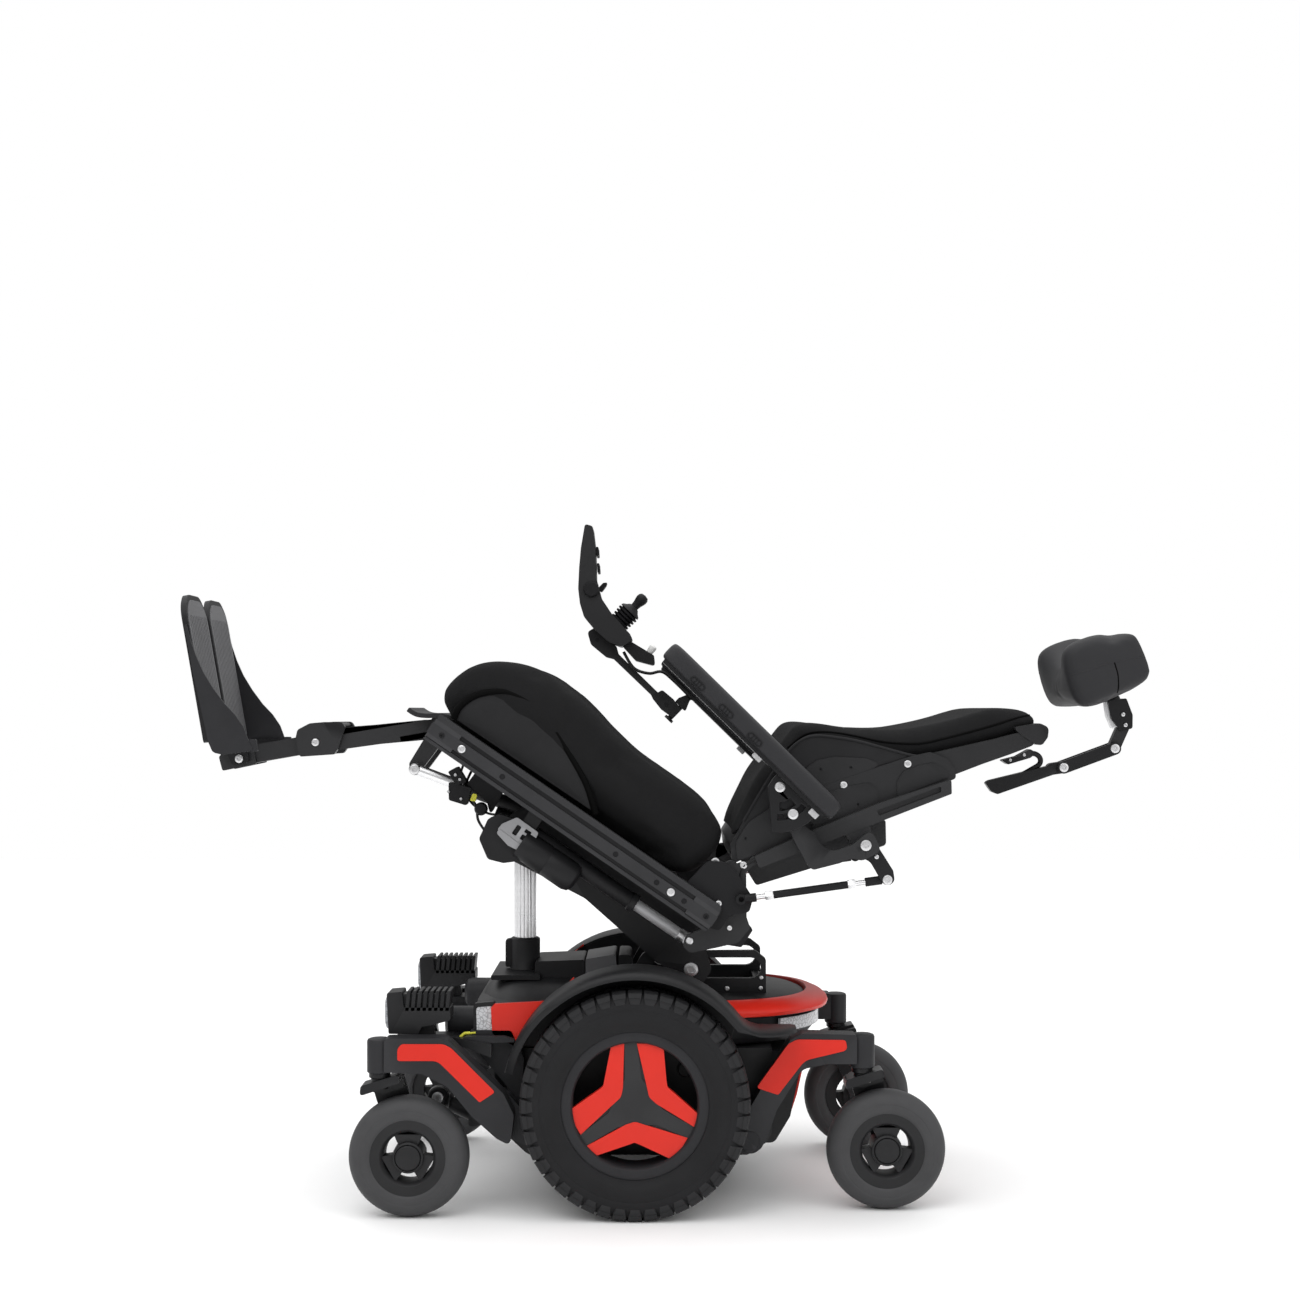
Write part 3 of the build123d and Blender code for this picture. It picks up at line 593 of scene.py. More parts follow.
def caster(end, side, sign, wheel_x, across, swivel_x, barrel_low):
    name = end + "_" + side
    y0 = sign * across
    bm = bmesh.new()
    half = [(94, 0), (93.6, 7), (91.5, 15), (86.5, 22), (79, 26.3), (74, 27.2), (72.6, 26.4),
            (71, 27.2), (62, 26.6), (60.8, 25.6), (59.6, 25.0)]
    profile = half + [(56, 24), (56, -24)] + [(r, -a) for r, a in reversed(half)]
    add_lathe(bm, [(r, y0 + a) for r, a in profile[:-1]] + [(94, y0)], wheel_x, CASTER_R, steps=88)
    finish("caster_tyre_" + name, to_mesh("tyre", bm), BASE, CASTER, "caster_" + name,
           replaces=("caster_wheel_" + name,), subdivide=1)
    bm = bmesh.new()
    out = sign
    ring = [(38, y0 - 20 * out), (38.5, y0 + 12 * out), (40, y0 + 19 * out), (44, y0 + 23 * out),
            (59, y0 + 24.6 * out), (59.3, y0 + 23 * out), (57, y0 - 20 * out), (38, y0 - 20 * out)]
    add_lathe(bm, ring, wheel_x, CASTER_R, steps=72)
    cap = [(0, y0 + 24 * out), (16, y0 + 23.8 * out), (19, y0 + 22.5 * out), (19.6, y0 + 19 * out),
           (20.4, y0 + 19 * out), (20.8, y0 + 22 * out), (24, y0 + 20.5 * out), (25, y0 + 10 * out),
           (25, y0 - 22 * out), (8, y0 - 24 * out)]
    add_lathe(bm, cap, wheel_x, CASTER_R, steps=48)
    for degrees in (90, 210, 330):
        a = math.radians(degrees)
        near, far = [], []
        for spread, radius, depth in ((0.70, 22, 15), (0.56, 42, 17)):
            for turn in (-spread, spread):
                near.append((wheel_x + radius * math.cos(a + turn), y0 + depth * out,
                             CASTER_R + radius * math.sin(a + turn)))
                far.append((wheel_x + radius * math.cos(a + turn), y0 - 6 * out,
                            CASTER_R + radius * math.sin(a + turn)))
        order = (0, 1, 3, 2)
        add_hexa(bm, [near[i] for i in order], [far[i] for i in order])
    finish("caster_hub_" + name, to_mesh("hub", bm), BASE, HUB, "caster_" + name, bevel=2.2, segments=3)

    # fork: stem collar, tilted crown plate and one leg inboard of the wheel
    bm = bmesh.new()
    stem = [(0, barrel_low - 0.6), (16.5, barrel_low - 0.6), (16.5, barrel_low - 7),
            (13.5, barrel_low - 9), (13.5, 198), (0, 198)]
    add_lathe(bm, stem, swivel_x, 0, steps=40, axis="Z", y=y0)
    low, high = sorted((y0 - sign * 21, y0 + sign * 20))
    crown = [(swivel_x - 29, 189, 5), (swivel_x - 27, 205, 5), (swivel_x + 31, 222, 5),
             (swivel_x + 34, 210, 5)]
    add_plate(bm, rounded(crown), low, high)
    leg_y = sorted((y0 - sign * 31, y0 - sign * 40))
    shoulder = sorted((y0 - sign * 16, y0 - sign * 40))
    add_plate(bm, rounded([(swivel_x - 20, 190, 4), (swivel_x - 18, 206, 4), (swivel_x + 33, 218, 4),
                           (swivel_x + 36, 196, 6), (swivel_x + 4, 186, 6)]), *shoulder)
    leg = [(swivel_x - 16, 196, 6), (swivel_x + 34, 212, 8), (wheel_x + 16, 96, 14), (wheel_x + 8, 80, 12),
           (wheel_x - 12, 80, 12), (wheel_x - 16, 100, 12), (swivel_x - 8, 170, 20)]
    add_plate(bm, rounded(leg), *leg_y)
    finish("fork_piece_" + name, to_mesh("fork", bm), BASE, PAINT, "fork_" + name,
           replaces=("fork_" + name,), bevel=2.0, segments=3)


for side, sign in SIDES:
    caster("front", side, sign, -351, 275, -397, 223)
    caster("rear", side, sign, 395, 225, 358, 222)

# -------------------------------------------------- suspension arms
FRONT_ARM = [(-388, 226, 3), (-388, 278, 6), (-292, 279, 26), (-203, 193, 10), (-187, 160, 20),
             (-193, 113, 8), (-214, 124, 6), (-252, 158, 22), (-290, 204, 30), (-330, 224, 20)]
FRONT_INLAY = [(-367, 244, 4), (-367, 262, 12), (-361, 270, 8), (-296, 270, 20), (-284, 264, 20),
               (-216, 196, 4), (-240, 180, 3), (-305, 244, 22)]
REAR_ARM = [(348, 230, 3), (348, 276, 6), (262, 278, 20), (243, 268, 20), (160, 128, 14),
            (160, 105, 16), (176, 90, 14), (196, 96, 12), (206, 112, 12), (222, 158, 14),
            (262, 222, 22), (300, 230, 20)]
REAR_INLAY = [(333, 252, 12), (330, 268, 6), (254, 269, 16), (240, 262, 16), (190, 193, 4),
              (224, 182, 4), (266, 236, 26)]


def suspension(side, sign):
    for end, ring, inlay, x_post, across, z_low, y_range in (
            ("front", FRONT_ARM, FRONT_INLAY, -397, 275, 223, (-296, -256)),
            ("rear", REAR_ARM, REAR_INLAY, 358, 225, 222, (-246, -206))):
        body = "arm_" + end + "_" + side
        low, high = sorted((sign * -y_range[0], sign * -y_range[1]))
        bm = bmesh.new()
        add_plate(bm, rounded(ring, 7), low, high)
        if end == "front":
            inner = span(sign, 196, 258)
            add_plate(bm, rounded([(-240, 182, 8), (-198, 186, 8), (-160, 140, 12), (-140, 116, 12),
                                   (-165, 102, 10), (-228, 130, 10)]), *inner)
        else:
            add_lathe(bm, [(0, sign * 247.4), (15, sign * 247.4), (16, sign * 246), (18, sign * 244),
                           (20, sign * 243), (20, sign * 197), (9, sign * 197)], 180, 109, steps=48)
        finish(body + "_casting", to_mesh(body, bm), BASE, PLASTIC_GREY, body, replaces=(body,),
               bevel=5.0, segments=4)
        bm = bmesh.new()
        top = z_low + 53
        add_lathe(bm, [(10.5, z_low), (18, z_low), (19.5, z_low + 1.5), (19.5, top - 4), (18, top - 1),
                       (14, top + 0.5), (0, top + 1)], x_post, 0, steps=56, axis="Z", y=sign * across)
        finish(body + "_barrel", to_mesh("barrel", bm), BASE, PLASTIC_GREY, body)
        face = span(sign, -y_range[0] + 0.8, -y_range[0] - 6)
        plate(body + "_inlay", rounded(inlay, 6), face[0], face[1], BASE, RED, body, bevel=1.2)
    # front shock absorber, inboard of its arm
    body = "arm_front_" + side
    y = sign * 162
    bm = bmesh.new()
    add_tube(bm, [(-316, y, 162), (-246, y, 130)], 10)
    add_tube(bm, [(-296, y, 153), (-262, y, 137)], 14)
    coil = []
    for k in range(90):
        t = k / 89
        a = 2 * math.pi * 6 * t
        coil.append((-312 + 52 * t + 6 * math.sin(a) * 0.4, y + 12 * math.cos(a),
                     160 - 24 * t + 12 * math.sin(a)))
    add_tube(bm, coil, 2.0, steps=8)
    add_lathe(bm, [(0, sign * 10), (15, sign * 10), (17, sign * 8), (17, sign * -10), (0, sign * -10)],
              -318, 163, steps=40, y=y)
    add_plate(bm, rounded([(-266, 122, 6), (-266, 150, 6), (-238, 160, 6), (-238, 126, 6)]),
              *span(sign, 150, 200))
    finish("shock_" + side, to_mesh("shock", bm), BASE, PAINT, body)
    bolts("shock_bolt_" + side, [(-318, sign * 171.5, 163, 9.5)], BASE, body)


for side, sign in SIDES:
    suspension(side, sign)

# -------------------------------------------------- base: chassis, shroud, trim, fenders, lamps
def add_grid_skin(bm, rows, closed=False):
    """Quads between rows of points."""
    made = [[bm.verts.new(p) for p in row] for row in rows]
    for near, far in zip(made, made[1:]):
        count = len(near)
        for i in range(count if closed else count - 1):
            j = (i + 1) % count
            bm.faces.new((near[i], near[j], far[j], far[i]))
    return made


def deck_edge(inset, steps=26):
    """Plan outline of the base cover: straight flanks and a broad round tail."""
    tail_x, flank_x, half = 322.0 - inset, 100.0, 216.0 - inset
    out = []
    for k in range(steps + 1):
        a = math.pi / 2 * (1 - 2 * k / steps)
        x = flank_x + (tail_x - flank_x) * math.cos(a) ** 0.92 if abs(math.cos(a)) > 1e-6 else flank_x
        out.append((x, half * (1 if a > 0 else -1) * abs(math.sin(a)) ** 0.86))
    return out


def ring_band(name, levels, material, front_x=60.0):
    """A skin through several (inset, z) levels of the deck edge, ending at the flanks."""
    bm = bmesh.new()
    rows = []
    for inset, z in levels:
        edge = deck_edge(inset)
        half = 216.0 - inset
        front = front_x + 0.35 * inset
        rows.append([(front, half, z), *[(x, y, z) for x, y in edge], (front, -half, z)])
    add_grid_skin(bm, rows, closed=False)
    return finish(name, to_mesh(name, bm), BASE, material, "chassis")


# red crescent: a sloping band round the tail with a rolled outer edge
band = [(40, 313), (36, 320), (24, 318.5), (9, 312), (1.5, 306), (0, 302), (1.5, 297), (9, 295)]
crescent = ring_band("tail_band", band, RED, front_x=66)
thick = crescent.modifiers.new("thick", "SOLIDIFY")
thick.thickness = 0.003
thick.offset = -1
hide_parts("trim_panels")
ring_band("tail_wall", [(9, 295.5), (22, 291), (24, 262), (34, 250), (60, 246)], PLASTIC, front_x=40)

# deck: a closed cover inside the band, with a front dome over the motors
bm = bmesh.new()
plan = [(x, y) for x, y in deck_edge(37)]
flank = [(60.0, -179.0)] + [(x, y) for x, y in reversed(plan)] + [(60.0, 179.0)]
ring = [(-262, -120), (-250, -165), (-214, -198), (40, -198)] + flank + [(40, 198), (-214, 198),
        (-250, 165), (-262, 120)]
levels = [(1.0, 250), (1.0, 300), (0.985, 314), (0.94, 319), (0.5, 321), (0.02, 322)]
rows = [[(x * k + 30 * (1 - k), y * k, z) for x, y in ring] for k, z in levels]
add_grid_skin(bm, rows, closed=True)
finish("deck_cover", to_mesh("deck", bm), BASE, PLASTIC, "chassis", replaces=("top_shroud",))

# front dome: a rounded hood across the front
bm = bmesh.new()
profile = spline([(-268, 262), (-266, 292), (-252, 318), (-226, 336), (-180, 342), (-60, 342),
                  (-34, 338), (-20, 322)], 5)
rows = []
for k in range(33):
    t = -1 + k / 16
    shrink = (1 - abs(t) ** 3.2)
    half = 196
    rows.append([(-150 + (x + 150) * (0.55 + 0.45 * shrink), half * t,
                  300 + (z - 300) * (0.30 + 0.70 * shrink) if z > 300 else z) for x, z in profile])
add_grid_skin(bm, rows)
finish("front_dome", to_mesh("dome", bm), BASE, PLASTIC, "chassis")

# chassis box, side plates behind the drive wheels, battery tray
bm = bmesh.new()
for sign in (-1, 1):
    add_plate(bm, rounded([(-200, 100, 16), (-200, 160, 10), (-226, 200, 6), (-226, 245), (218, 245),
                           (218, 100, 20), (180, 74, 16), (-172, 74, 20)]), *span(sign, 24, 184))
add_plate(bm, rounded([(-160, 80, 4), (-160, 245), (218, 245), (218, 100, 20), (180, 74, 16),
                       (-150, 74, 4)]), -24, 24)
add_plate(bm, rounded([(180, 240, 4), (262, 230, 8), (264, 199, 8), (250, 129, 12), (224, 86, 14),
                       (190, 86, 8)]), -150, 150)
finish("chassis_box", to_mesh("chassis", bm), BASE, PAINT, "chassis", bevel=5.0, segments=3,
       replaces=("chassis_frame", "batteries"))
plate("tail_skirt_strip", strip([(268, 205), (259, 165), (246, 125)], 4), -148, 148, BASE, RED, "chassis")
for side, sign in SIDES:
    skirt = rounded([(-262, 262, 8), (-206, 196, 8), (-180, 160, 10), (-176, 236, 10), (-196, 280, 6),
                     (-262, 280, 6)])
    plate("skirt_" + side, skirt, *span(sign, 206, 228), BASE, PLASTIC_GREY, "chassis", bevel=3.0)
    bm = bmesh.new()
    hub_plate = rounded([(-104, 90, 20), (-104, 262, 20), (110, 262, 20), (110, 150, 30), (60, 84, 20)])
    add_plate(bm, hub_plate, *span(sign, 184, 214),
              holes=[rounded([(-30, 96, 8), (-52, 116, 8), (-10, 122, 8), (14, 104, 8)])])
    add_lathe(bm, [(0, sign * 246), (22, sign * 246), (26, sign * 240), (44, sign * 236),
                   (52, sign * 214), (52, sign * 184)], 0, DRIVE_R, steps=56)
    add_lathe(bm, [(0, sign * 222), (10, sign * 222), (12, sign * 219), (12, sign * 212)], 78, 217,
              steps=32)
    finish("gear_plate_" + side, to_mesh("gear", bm), BASE, PLASTIC, "chassis", bevel=2.0)
    bm = bmesh.new()
    add_lathe(bm, [(0, -76), (16, -75), (24, -70), (26, -62), (26, -20), (27.5, -18), (27.5, 0),
                   (29, 2), (29, 30), (0, 30)], -230, 284, steps=48, axis="X", y=sign * 168)
    motor = finish("motor_can_" + side, to_mesh("motor", bm), BASE, PLASTIC_GREY, "chassis")
    if side == "left":
        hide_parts("drive_motors")

# red shoulders: front corner panels that sweep up along the fenders
for side, sign in SIDES:
    sweep = [(206 * math.cos(math.radians(a)), DRIVE_R + 206 * math.sin(math.radians(a)))
             for a in range(118, 159, 2)]
    ring = [(-217, 268), (-226, 276), (-228, 316), (-222, 322), (-139, 326), (-118, 342), (-97, 364),
            *sweep]
    plate("shoulder_" + side, ring, *span(sign, 221.5, 228), BASE, RED, "chassis", bevel=2.6, segments=4)

# fenders: an arched skin with a rolled lip, flaring into a flat tail
FENDER_R = 206.5
FENDER_START = 168.0
FENDER_SWEEP = 126.0
TAIL_X = 170
for side, sign in SIDES:
    bm = bmesh.new()
    path = []
    for k in range(34):
        a = math.radians(FENDER_START - FENDER_SWEEP * k / 33)
        wide = min(1.0, 0.15 + 0.085 * k)
        path.append((FENDER_R * math.cos(a), DRIVE_R + FENDER_R * math.sin(a), wide))
    path += [(166, 302, 1.0), (178, 294, 1.0), (192, 290, 0.98), (208, 289.5, 0.95), (226, 290, 0.86),
             (243, 291, 0.62), (250, 291, 0.4)]
    rows = []
    for i, (x, z, wide) in enumerate(path):
        nx, nz, _ = path[min(i + 1, len(path) - 1)]
        px, pz, _ = path[max(i - 1, 0)]
        along = Vector((nx - px, nz - pz)).normalized()
        up = Vector((-along.y, along.x))
        section = [(0, 229), (1.5, 232), (1.5, 300), (0.5, 316), (-3, 325), (-8, 328), (-11.5, 328),
                   (-12, 325.5), (-8, 321), (-4.5, 314), (-3, 300), (-3, 230)]
        row = []
        for lift, y in section:
            centre = 262
            y = centre + (y - centre) * wide if y > centre else y + (1 - wide) * 26
            if x > TAIL_X and lift < 0:
                lift *= 0.4
            row.append((x + up.x * lift, sign * y, z + up.y * lift))
        rows.append(row)
    skin = add_grid_skin(bm, rows, closed=True)
    bm.faces.new(skin[0])
    bm.faces.new(skin[-1][::-1])
    fender = finish("fender_" + side, to_mesh("fender", bm), BASE, PLASTIC, "chassis")
    if side == "left":
        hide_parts("fenders")

for side, sign in SIDES:
    arch = [(204 * math.cos(math.radians(a)), DRIVE_R + 204 * math.sin(math.radians(a)))
            for a in range(38, 146, 4)]
    low_edge = [(-150, 262), (150, 262)]
    plate("fender_wall_" + side, [*low_edge, *arch], *span(sign, 228, 231), BASE, PLASTIC, "chassis",
          bevel=0.6)

# headlights with cooling ribs, on brackets
for side, sign in SIDES:
    centre = sign * 222
    bm = bmesh.new()
    add_plate(bm, rounded([(-387, 278, 3), (-390, 342, 4), (-366, 344, 3), (-363, 319, 3),
                           (-290, 319, 3), (-290, 299, 6), (-318, 292, 8), (-335, 289, 6),
                           (-341, 277, 4)]), centre - 26, centre + 26)
    add_plate(bm, [(-368, 316), (-368, 339), (-296, 339), (-296, 316)], centre - 17, centre + 17)
    for k in range(8):
        x = -361 + 9.0 * k
        add_plate(bm, rounded([(x, 314, 1), (x + 3, 345, 1.6), (x + 8.6, 345, 1.6), (x + 5.6, 314, 1)]),
                  centre - 26, centre + 26)
    lamp = finish("headlight_" + side, to_mesh("lamp", bm), BASE, PLASTIC, "chassis", bevel=1.4)
    if side == "left":
        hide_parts("headlights")
    bm = bmesh.new()
    rows = []
    for bulge, inset in ((0, 1), (3.5, 3), (6, 9), (7, 18)):
        rows.append([(-388 - bulge, centre + (24 - inset) * c, 310 + (28 - inset) * s)
                     for c, s in [(math.copysign(abs(math.cos(q)) ** 0.45, math.cos(q)),
                                   math.copysign(abs(math.sin(q)) ** 0.45, math.sin(q)))
                                  for q in [2 * math.pi * k / 40 for k in range(40)]]])
    skin = add_grid_skin(bm, rows, closed=True)
    bm.faces.new(skin[-1])
    lens = finish("headlight_lens_" + side, to_mesh("lens", bm), BASE, LENS, "chassis")
    if side == "left":
        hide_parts("lamp_lenses")
    bm = bmesh.new()
    add_plate(bm, rounded([(-352, 272, 2), (-352, 304, 6), (-334, 306, 6), (-320, 306, 4),
                           (-316, 272, 2)]), centre - 9, centre + 9)
    add_plate(bm, rounded([(-378, 266, 2), (-378, 272, 2), (-288, 273, 2), (-226, 262, 2),
                           (-226, 240, 2), (-288, 264, 2)]), *span(sign, 190, 246))
    finish("lamp_bracket_" + side, to_mesh("bracket", bm), BASE, PAINT, "chassis", bevel=1.2)
    # side reflector in a black frame, at the front corner
    frame_ring = rounded([(-256, 270, 6), (-256, 322, 7), (-222, 325, 3), (-224, 300, 4),
                          (-216, 268, 4)], 4)
    lens_ring = rounded([(-251, 276, 7), (-252, 316, 5), (-227, 318, 3), (-228, 290, 8), (-221, 275, 3)], 4)
    plate("side_lamp_frame_" + side, frame_ring, *span(sign, 208, 223), BASE, PLASTIC, "chassis",
          holes=[lens_ring])
    plate("side_lamp_" + side, lens_ring, *span(sign, 206, 222), BASE, REFLECTOR, "chassis", bevel=2.0)

# rear reflectors wrap round the tail under the red band
bm = bmesh.new()
edge = deck_edge(19, steps=90)
for side_sign in (1, -1):
    part = [(x, y) for x, y in edge if 228 < x < 303 and y * side_sign > 0]
    rows = [[(x, y, z) for x, y in part] for z in (268, 289)]
    outer = [[(x + 3.2, y * 1.012, z) for x, y in part] for z in (289, 268)]
    add_grid_skin(bm, rows + outer)
finish("tail_reflectors", to_mesh("tail_reflectors", bm), BASE, REFLECTOR, "chassis")

# motor release levers with a yellow sleeve
for side, sign in SIDES:
    body = "release_" + side
    ring = rounded([(-279, 266, 4), (-266, 273, 6), (-205, 273, 5), (-190, 268, 4), (-190, 264, 3),
                    (-262, 261, 5)])
    plate("lever_" + side, ring, *span(sign, 231, 243), BASE, PLASTIC_GREY, body, bevel=2.4,
          replaces=("release_lever_" + side,), segments=3)
    tube("lever_sleeve_" + side, [(-278, sign * 228, 268), (-270, sign * 226, 275),
                                  (-252, sign * 226, 276.5)], 2.6, BASE, YELLOW, body)

# -------------------------------------------------- column, power boxes, tilt track and carriage
COLUMN_X = -188.0
bm = bmesh.new()
sleeve = [(19.0, 402), (22, 402), (25, 399.5), (25, 352), (26.5, 350), (26.5, 332), (25, 330),
          (25, 300), (19.0, 300), (19.0, 402)]
add_lathe(bm, sleeve, COLUMN_X, 0, steps=64, axis="Z")
add_plate(bm, rounded([(-239, 341, 3), (-239, 349, 3), (-158, 349, 3), (-158, 341, 3)]), -92, 92)
add_plate(bm, rounded([(-221, 352, 3), (-221, 398, 5), (-209, 400, 3), (-209, 352, 3)]), -9, 9)
finish("sleeve_piece", to_mesh("sleeve", bm), BASE, PLASTIC, "chassis", replaces=("column_sleeve",),
       bevel=1.0)

bm = bmesh.new()
rows = []
FLUTES = 16
LIFT_TUBE_R = 18.6
for z in (300, 302, 400, 500, 598, 600):
    trim = 0.7 if z in (300, 600) else 0.0
    ring = []
    for k in range(FLUTES * 8):
        a = 2 * math.pi * k / (FLUTES * 8)
        r = LIFT_TUBE_R - trim - 1.7 * max(0.0, math.cos(FLUTES * a)) ** 4
        ring.append((COLUMN_X + r * math.cos(a), r * math.sin(a), z))
    rows.append(ring)
skin = add_grid_skin(bm, rows, closed=True)
bm.faces.new(skin[0])
bm.faces.new(skin[-1][::-1])
finish("lift_tube_piece", to_mesh("lift", bm), BASE, SILVER, "lift", replaces=("lift_tube",))
bm = bmesh.new()
add_plate(bm, rounded([(-203, 600, 2), (-203, 612, 8), (-188, 622, 10), (-173, 612, 8), (-173, 600, 2)],
                      6), -7, 7)
finish("lift_eye", to_mesh("lift_eye", bm), BASE, STEEL, "lift", bevel=1.5)

bm = bmesh.new()
add_plate(bm, rounded([(-168, 330, 2), (-168, 368, 5), (-86, 371, 4), (-85, 330, 2)], 6), -64, 64)
power = finish("power_box_front", to_mesh("power", bm), BASE, PLASTIC, "chassis",
               replaces=("power_module",), bevel=2.2, segments=3)
plate("power_box_rear", rounded([(-84, 330, 2), (-84, 372, 4), (-34, 380, 4), (-30, 330, 2)], 6), -64,
      64, BASE, PANEL, "chassis", bevel=2.2, segments=3)
plate("power_box_end", rounded([(-29, 330, 2), (-29, 379, 4), (-8, 379, 8), (-4, 330, 2)], 6), -64, 64,
      BASE, PLASTIC, "chassis", bevel=2.2, segments=3)

TRACK_Y = (79, 91)
track_ring = rounded([(-8, 313, 4), (-8, 352, 10), (12, 388, 18), (196, 390, 10), (214, 376, 8),
                      (214, 313, 4)], 7)
bm = bmesh.new()
for sign in (-1, 1):
    low, high = sorted((sign * TRACK_Y[0], sign * TRACK_Y[1]))
    add_plate(bm, track_ring, low, high, holes=[slot_ring(43, 189, 361, 17)])
    add_plate(bm, rounded([(-6, 313, 2), (-6, 321, 2), (212, 321, 2), (212, 313, 2)]), *span(sign, 46, 80))
add_plate(bm, rounded([(197, 314, 3), (197, 336, 3), (211, 336, 3), (211, 314, 3)]), -80, 80)
finish("tilt_track_piece", to_mesh("track", bm), BASE, PAINT, "chassis", replaces=("tilt_track",),
       bevel=1.6, segments=3)
bolts("track_bolts", [(8, -91.2, 331, 4), (60, -91.2, 327, 4), (150, -91.2, 327, 4), (206, -91.2, 345, 3.6),
                      (205, -91.2, 328, 3.6)], BASE, "chassis", both=True)

bm = bmesh.new()
for sign in (-1, 1):
    add_plate(bm, circle(90, 361, 15.8, 40), *span(sign, 78.6, 91.4))
add_tube(bm, [(90, -112, 361), (90, 112, 361)], 8, steps=32)
finish("carriage_piece", to_mesh("carriage", bm), BASE, RUBBER, "carriage", replaces=("tilt_carriage",),
       bevel=0.8)
bolts("pivot_bolts", [(90, -111.4, 361, 12)], BASE, "carriage", both=True)

# -------------------------------------------------- seat frame
RAIL = 250.0
RAIL_MID = 95.5
RAIL_HOLES = (-427, -212, -134, -82)
bm = bmesh.new()
for sign in (-1, 1):
    add_plate(bm, rounded([(-566, 75, 20), (-566, 122, 20), (-24, 122, 10), (-24, 75, 10)], 8),
              *span(sign, 227, RAIL - 4))
finish("seat_rails", to_mesh("rails", bm), SEAT, PAINT, "seat", replaces=("seat_frame",), bevel=1.0)
bm = bmesh.new()
for sign in (-1, 1):
    outer = span(sign, RAIL - 4.2, RAIL)
    add_plate(bm, rounded([(-565, 75, 18), (-561, 81), (-26, 81), (-28, 75, 6)], 6), *outer)
    add_plate(bm, rounded([(-562, 112), (-564, 122, 18), (-28, 122, 8), (-26, 112)], 6), *outer)
    add_plate(bm, [(-565, 87), (-565, 105), (-24, 105), (-24, 87)], *outer,
              holes=[circle(u, RAIL_MID, 4.5, 20) for u in RAIL_HOLES])
    for u_low, u_high in ((-564, -515), (-71, -25)):
        for low, high in ((80, 87), (105, 112)):
            add_box(bm, (u_low + 0.5, u_high - 0.5), outer, (low - 0.2, high + 0.2))
finish("seat_rail_bars", to_mesh("rail_bars", bm), SEAT, RAIL_METAL, "seat", bevel=0.8)
bm = bmesh.new()
for u in RAIL_HOLES:
    for sign in (-1, 1):
        add_lathe(bm, [(0, sign * (RAIL - 4.6)), (4.5, sign * (RAIL - 4.6)), (4.5, sign * (RAIL - 1.2)),
                       (0, sign * (RAIL - 1.2))], u, RAIL_MID, steps=20)
finish("rail_plugs", to_mesh("plugs", bm), SEAT, RUBBER, "seat")
bolts("rail_bolts", [(-504, -RAIL, 95.4, 6.5), (-107, -RAIL, 95.4, 6.5)], SEAT, "seat", both=True)
bolts("rail_black_bolts", [(u, -RAIL, z, 4.4) for u, z in ((-560 + 18, 95.4), (-40, 95.4))], SEAT,
      "seat", RUBBER, both=True)

bm = bmesh.new()
arm_ring = rounded([(29, -12, 14), (29, 18, 12), (-30, 68, 16), (-372, 76, 14), (-388, 39, 8),
                    (-368, -18, 8), (-340, -18, 14), (-209, -2, 30), (-60, -21, 24), (6, -21, 18)], 7)
for sign in (-1, 1):
    add_plate(bm, arm_ring, *span(sign, 95, 111), holes=[circle(0, 0, 8.2, 24)])
finish("tilt_arms", to_mesh("tilt_arms", bm), SEAT, PAINT, "seat", bevel=1.6, segments=3)
bm = bmesh.new()
add_plate(bm, rounded([(-562, 107, 2), (-562, 113.5, 2), (-105, 113.5, 2), (-105, 107, 2)]), -227, 227)
for low, high, z_low in ((-530, -505, 78), (-252, -226, 74), (-184, -158, 74)):
    add_plate(bm, rounded([(low, z_low, 4), (low, 106.5, 2), (high, 106.5, 2), (high, z_low, 4)]), -228,
              228)
for sign in (-1, 1):
    hanger = rounded([(-420, 107, 2), (-416, 40, 8), (-408, 30, 8), (-394, 30, 8), (-366, 107, 2)])
    add_plate(bm, hanger, *span(sign, 27, 34))
    add_plate(bm, rounded([(-584, 74, 8), (-586, 104, 8), (-505, 107, 4), (-505, 78, 4)]),
              *span(sign, 64, 72))
finish("seat_pan", to_mesh("pan", bm), SEAT, PAINT, "seat", bevel=1.2)
bm = bmesh.new()
for sign in (-1, 1):
    ring = rounded([(-95, 114, 6), (-86, 168, 12), (-60, 183, 18), (-36, 178, 10), (6, 160, 10),
                    (14, 138, 10), (-10, 116, 10), (-8, 88, 8), (-38, 77, 8), (-60, 96, 8)])
    add_plate(bm, ring, *span(sign, 226, 234))
finish("back_ears", to_mesh("ears", bm), SEAT, RUBBER, "seat", bevel=1.5, segments=3)
bolts("ear_bolts", [(-34, -234.5, 122, 5), (2, -234.5, 100, 4)], SEAT, "seat", both=True)

# front flap behind the knees
bm = bmesh.new()
flap = spline([(-552, 119), (-572, 112), (-592, 98), (-608, 90), (-624, 89)], 5)
add_plate(bm, strip(flap, 8.0), -104, 104)
knee_flap = finish("knee_flap", to_mesh("flap", bm), SEAT, SKIN, None, bevel=1.8, segments=3)
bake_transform(knee_flap)


# -------------------------------------------------- soft goods
VOXEL = 6.0
CLOTH_STEPS = 20
CUSHION_PRESSURE = 3.0
CUSHION_SHRINK = 2.0


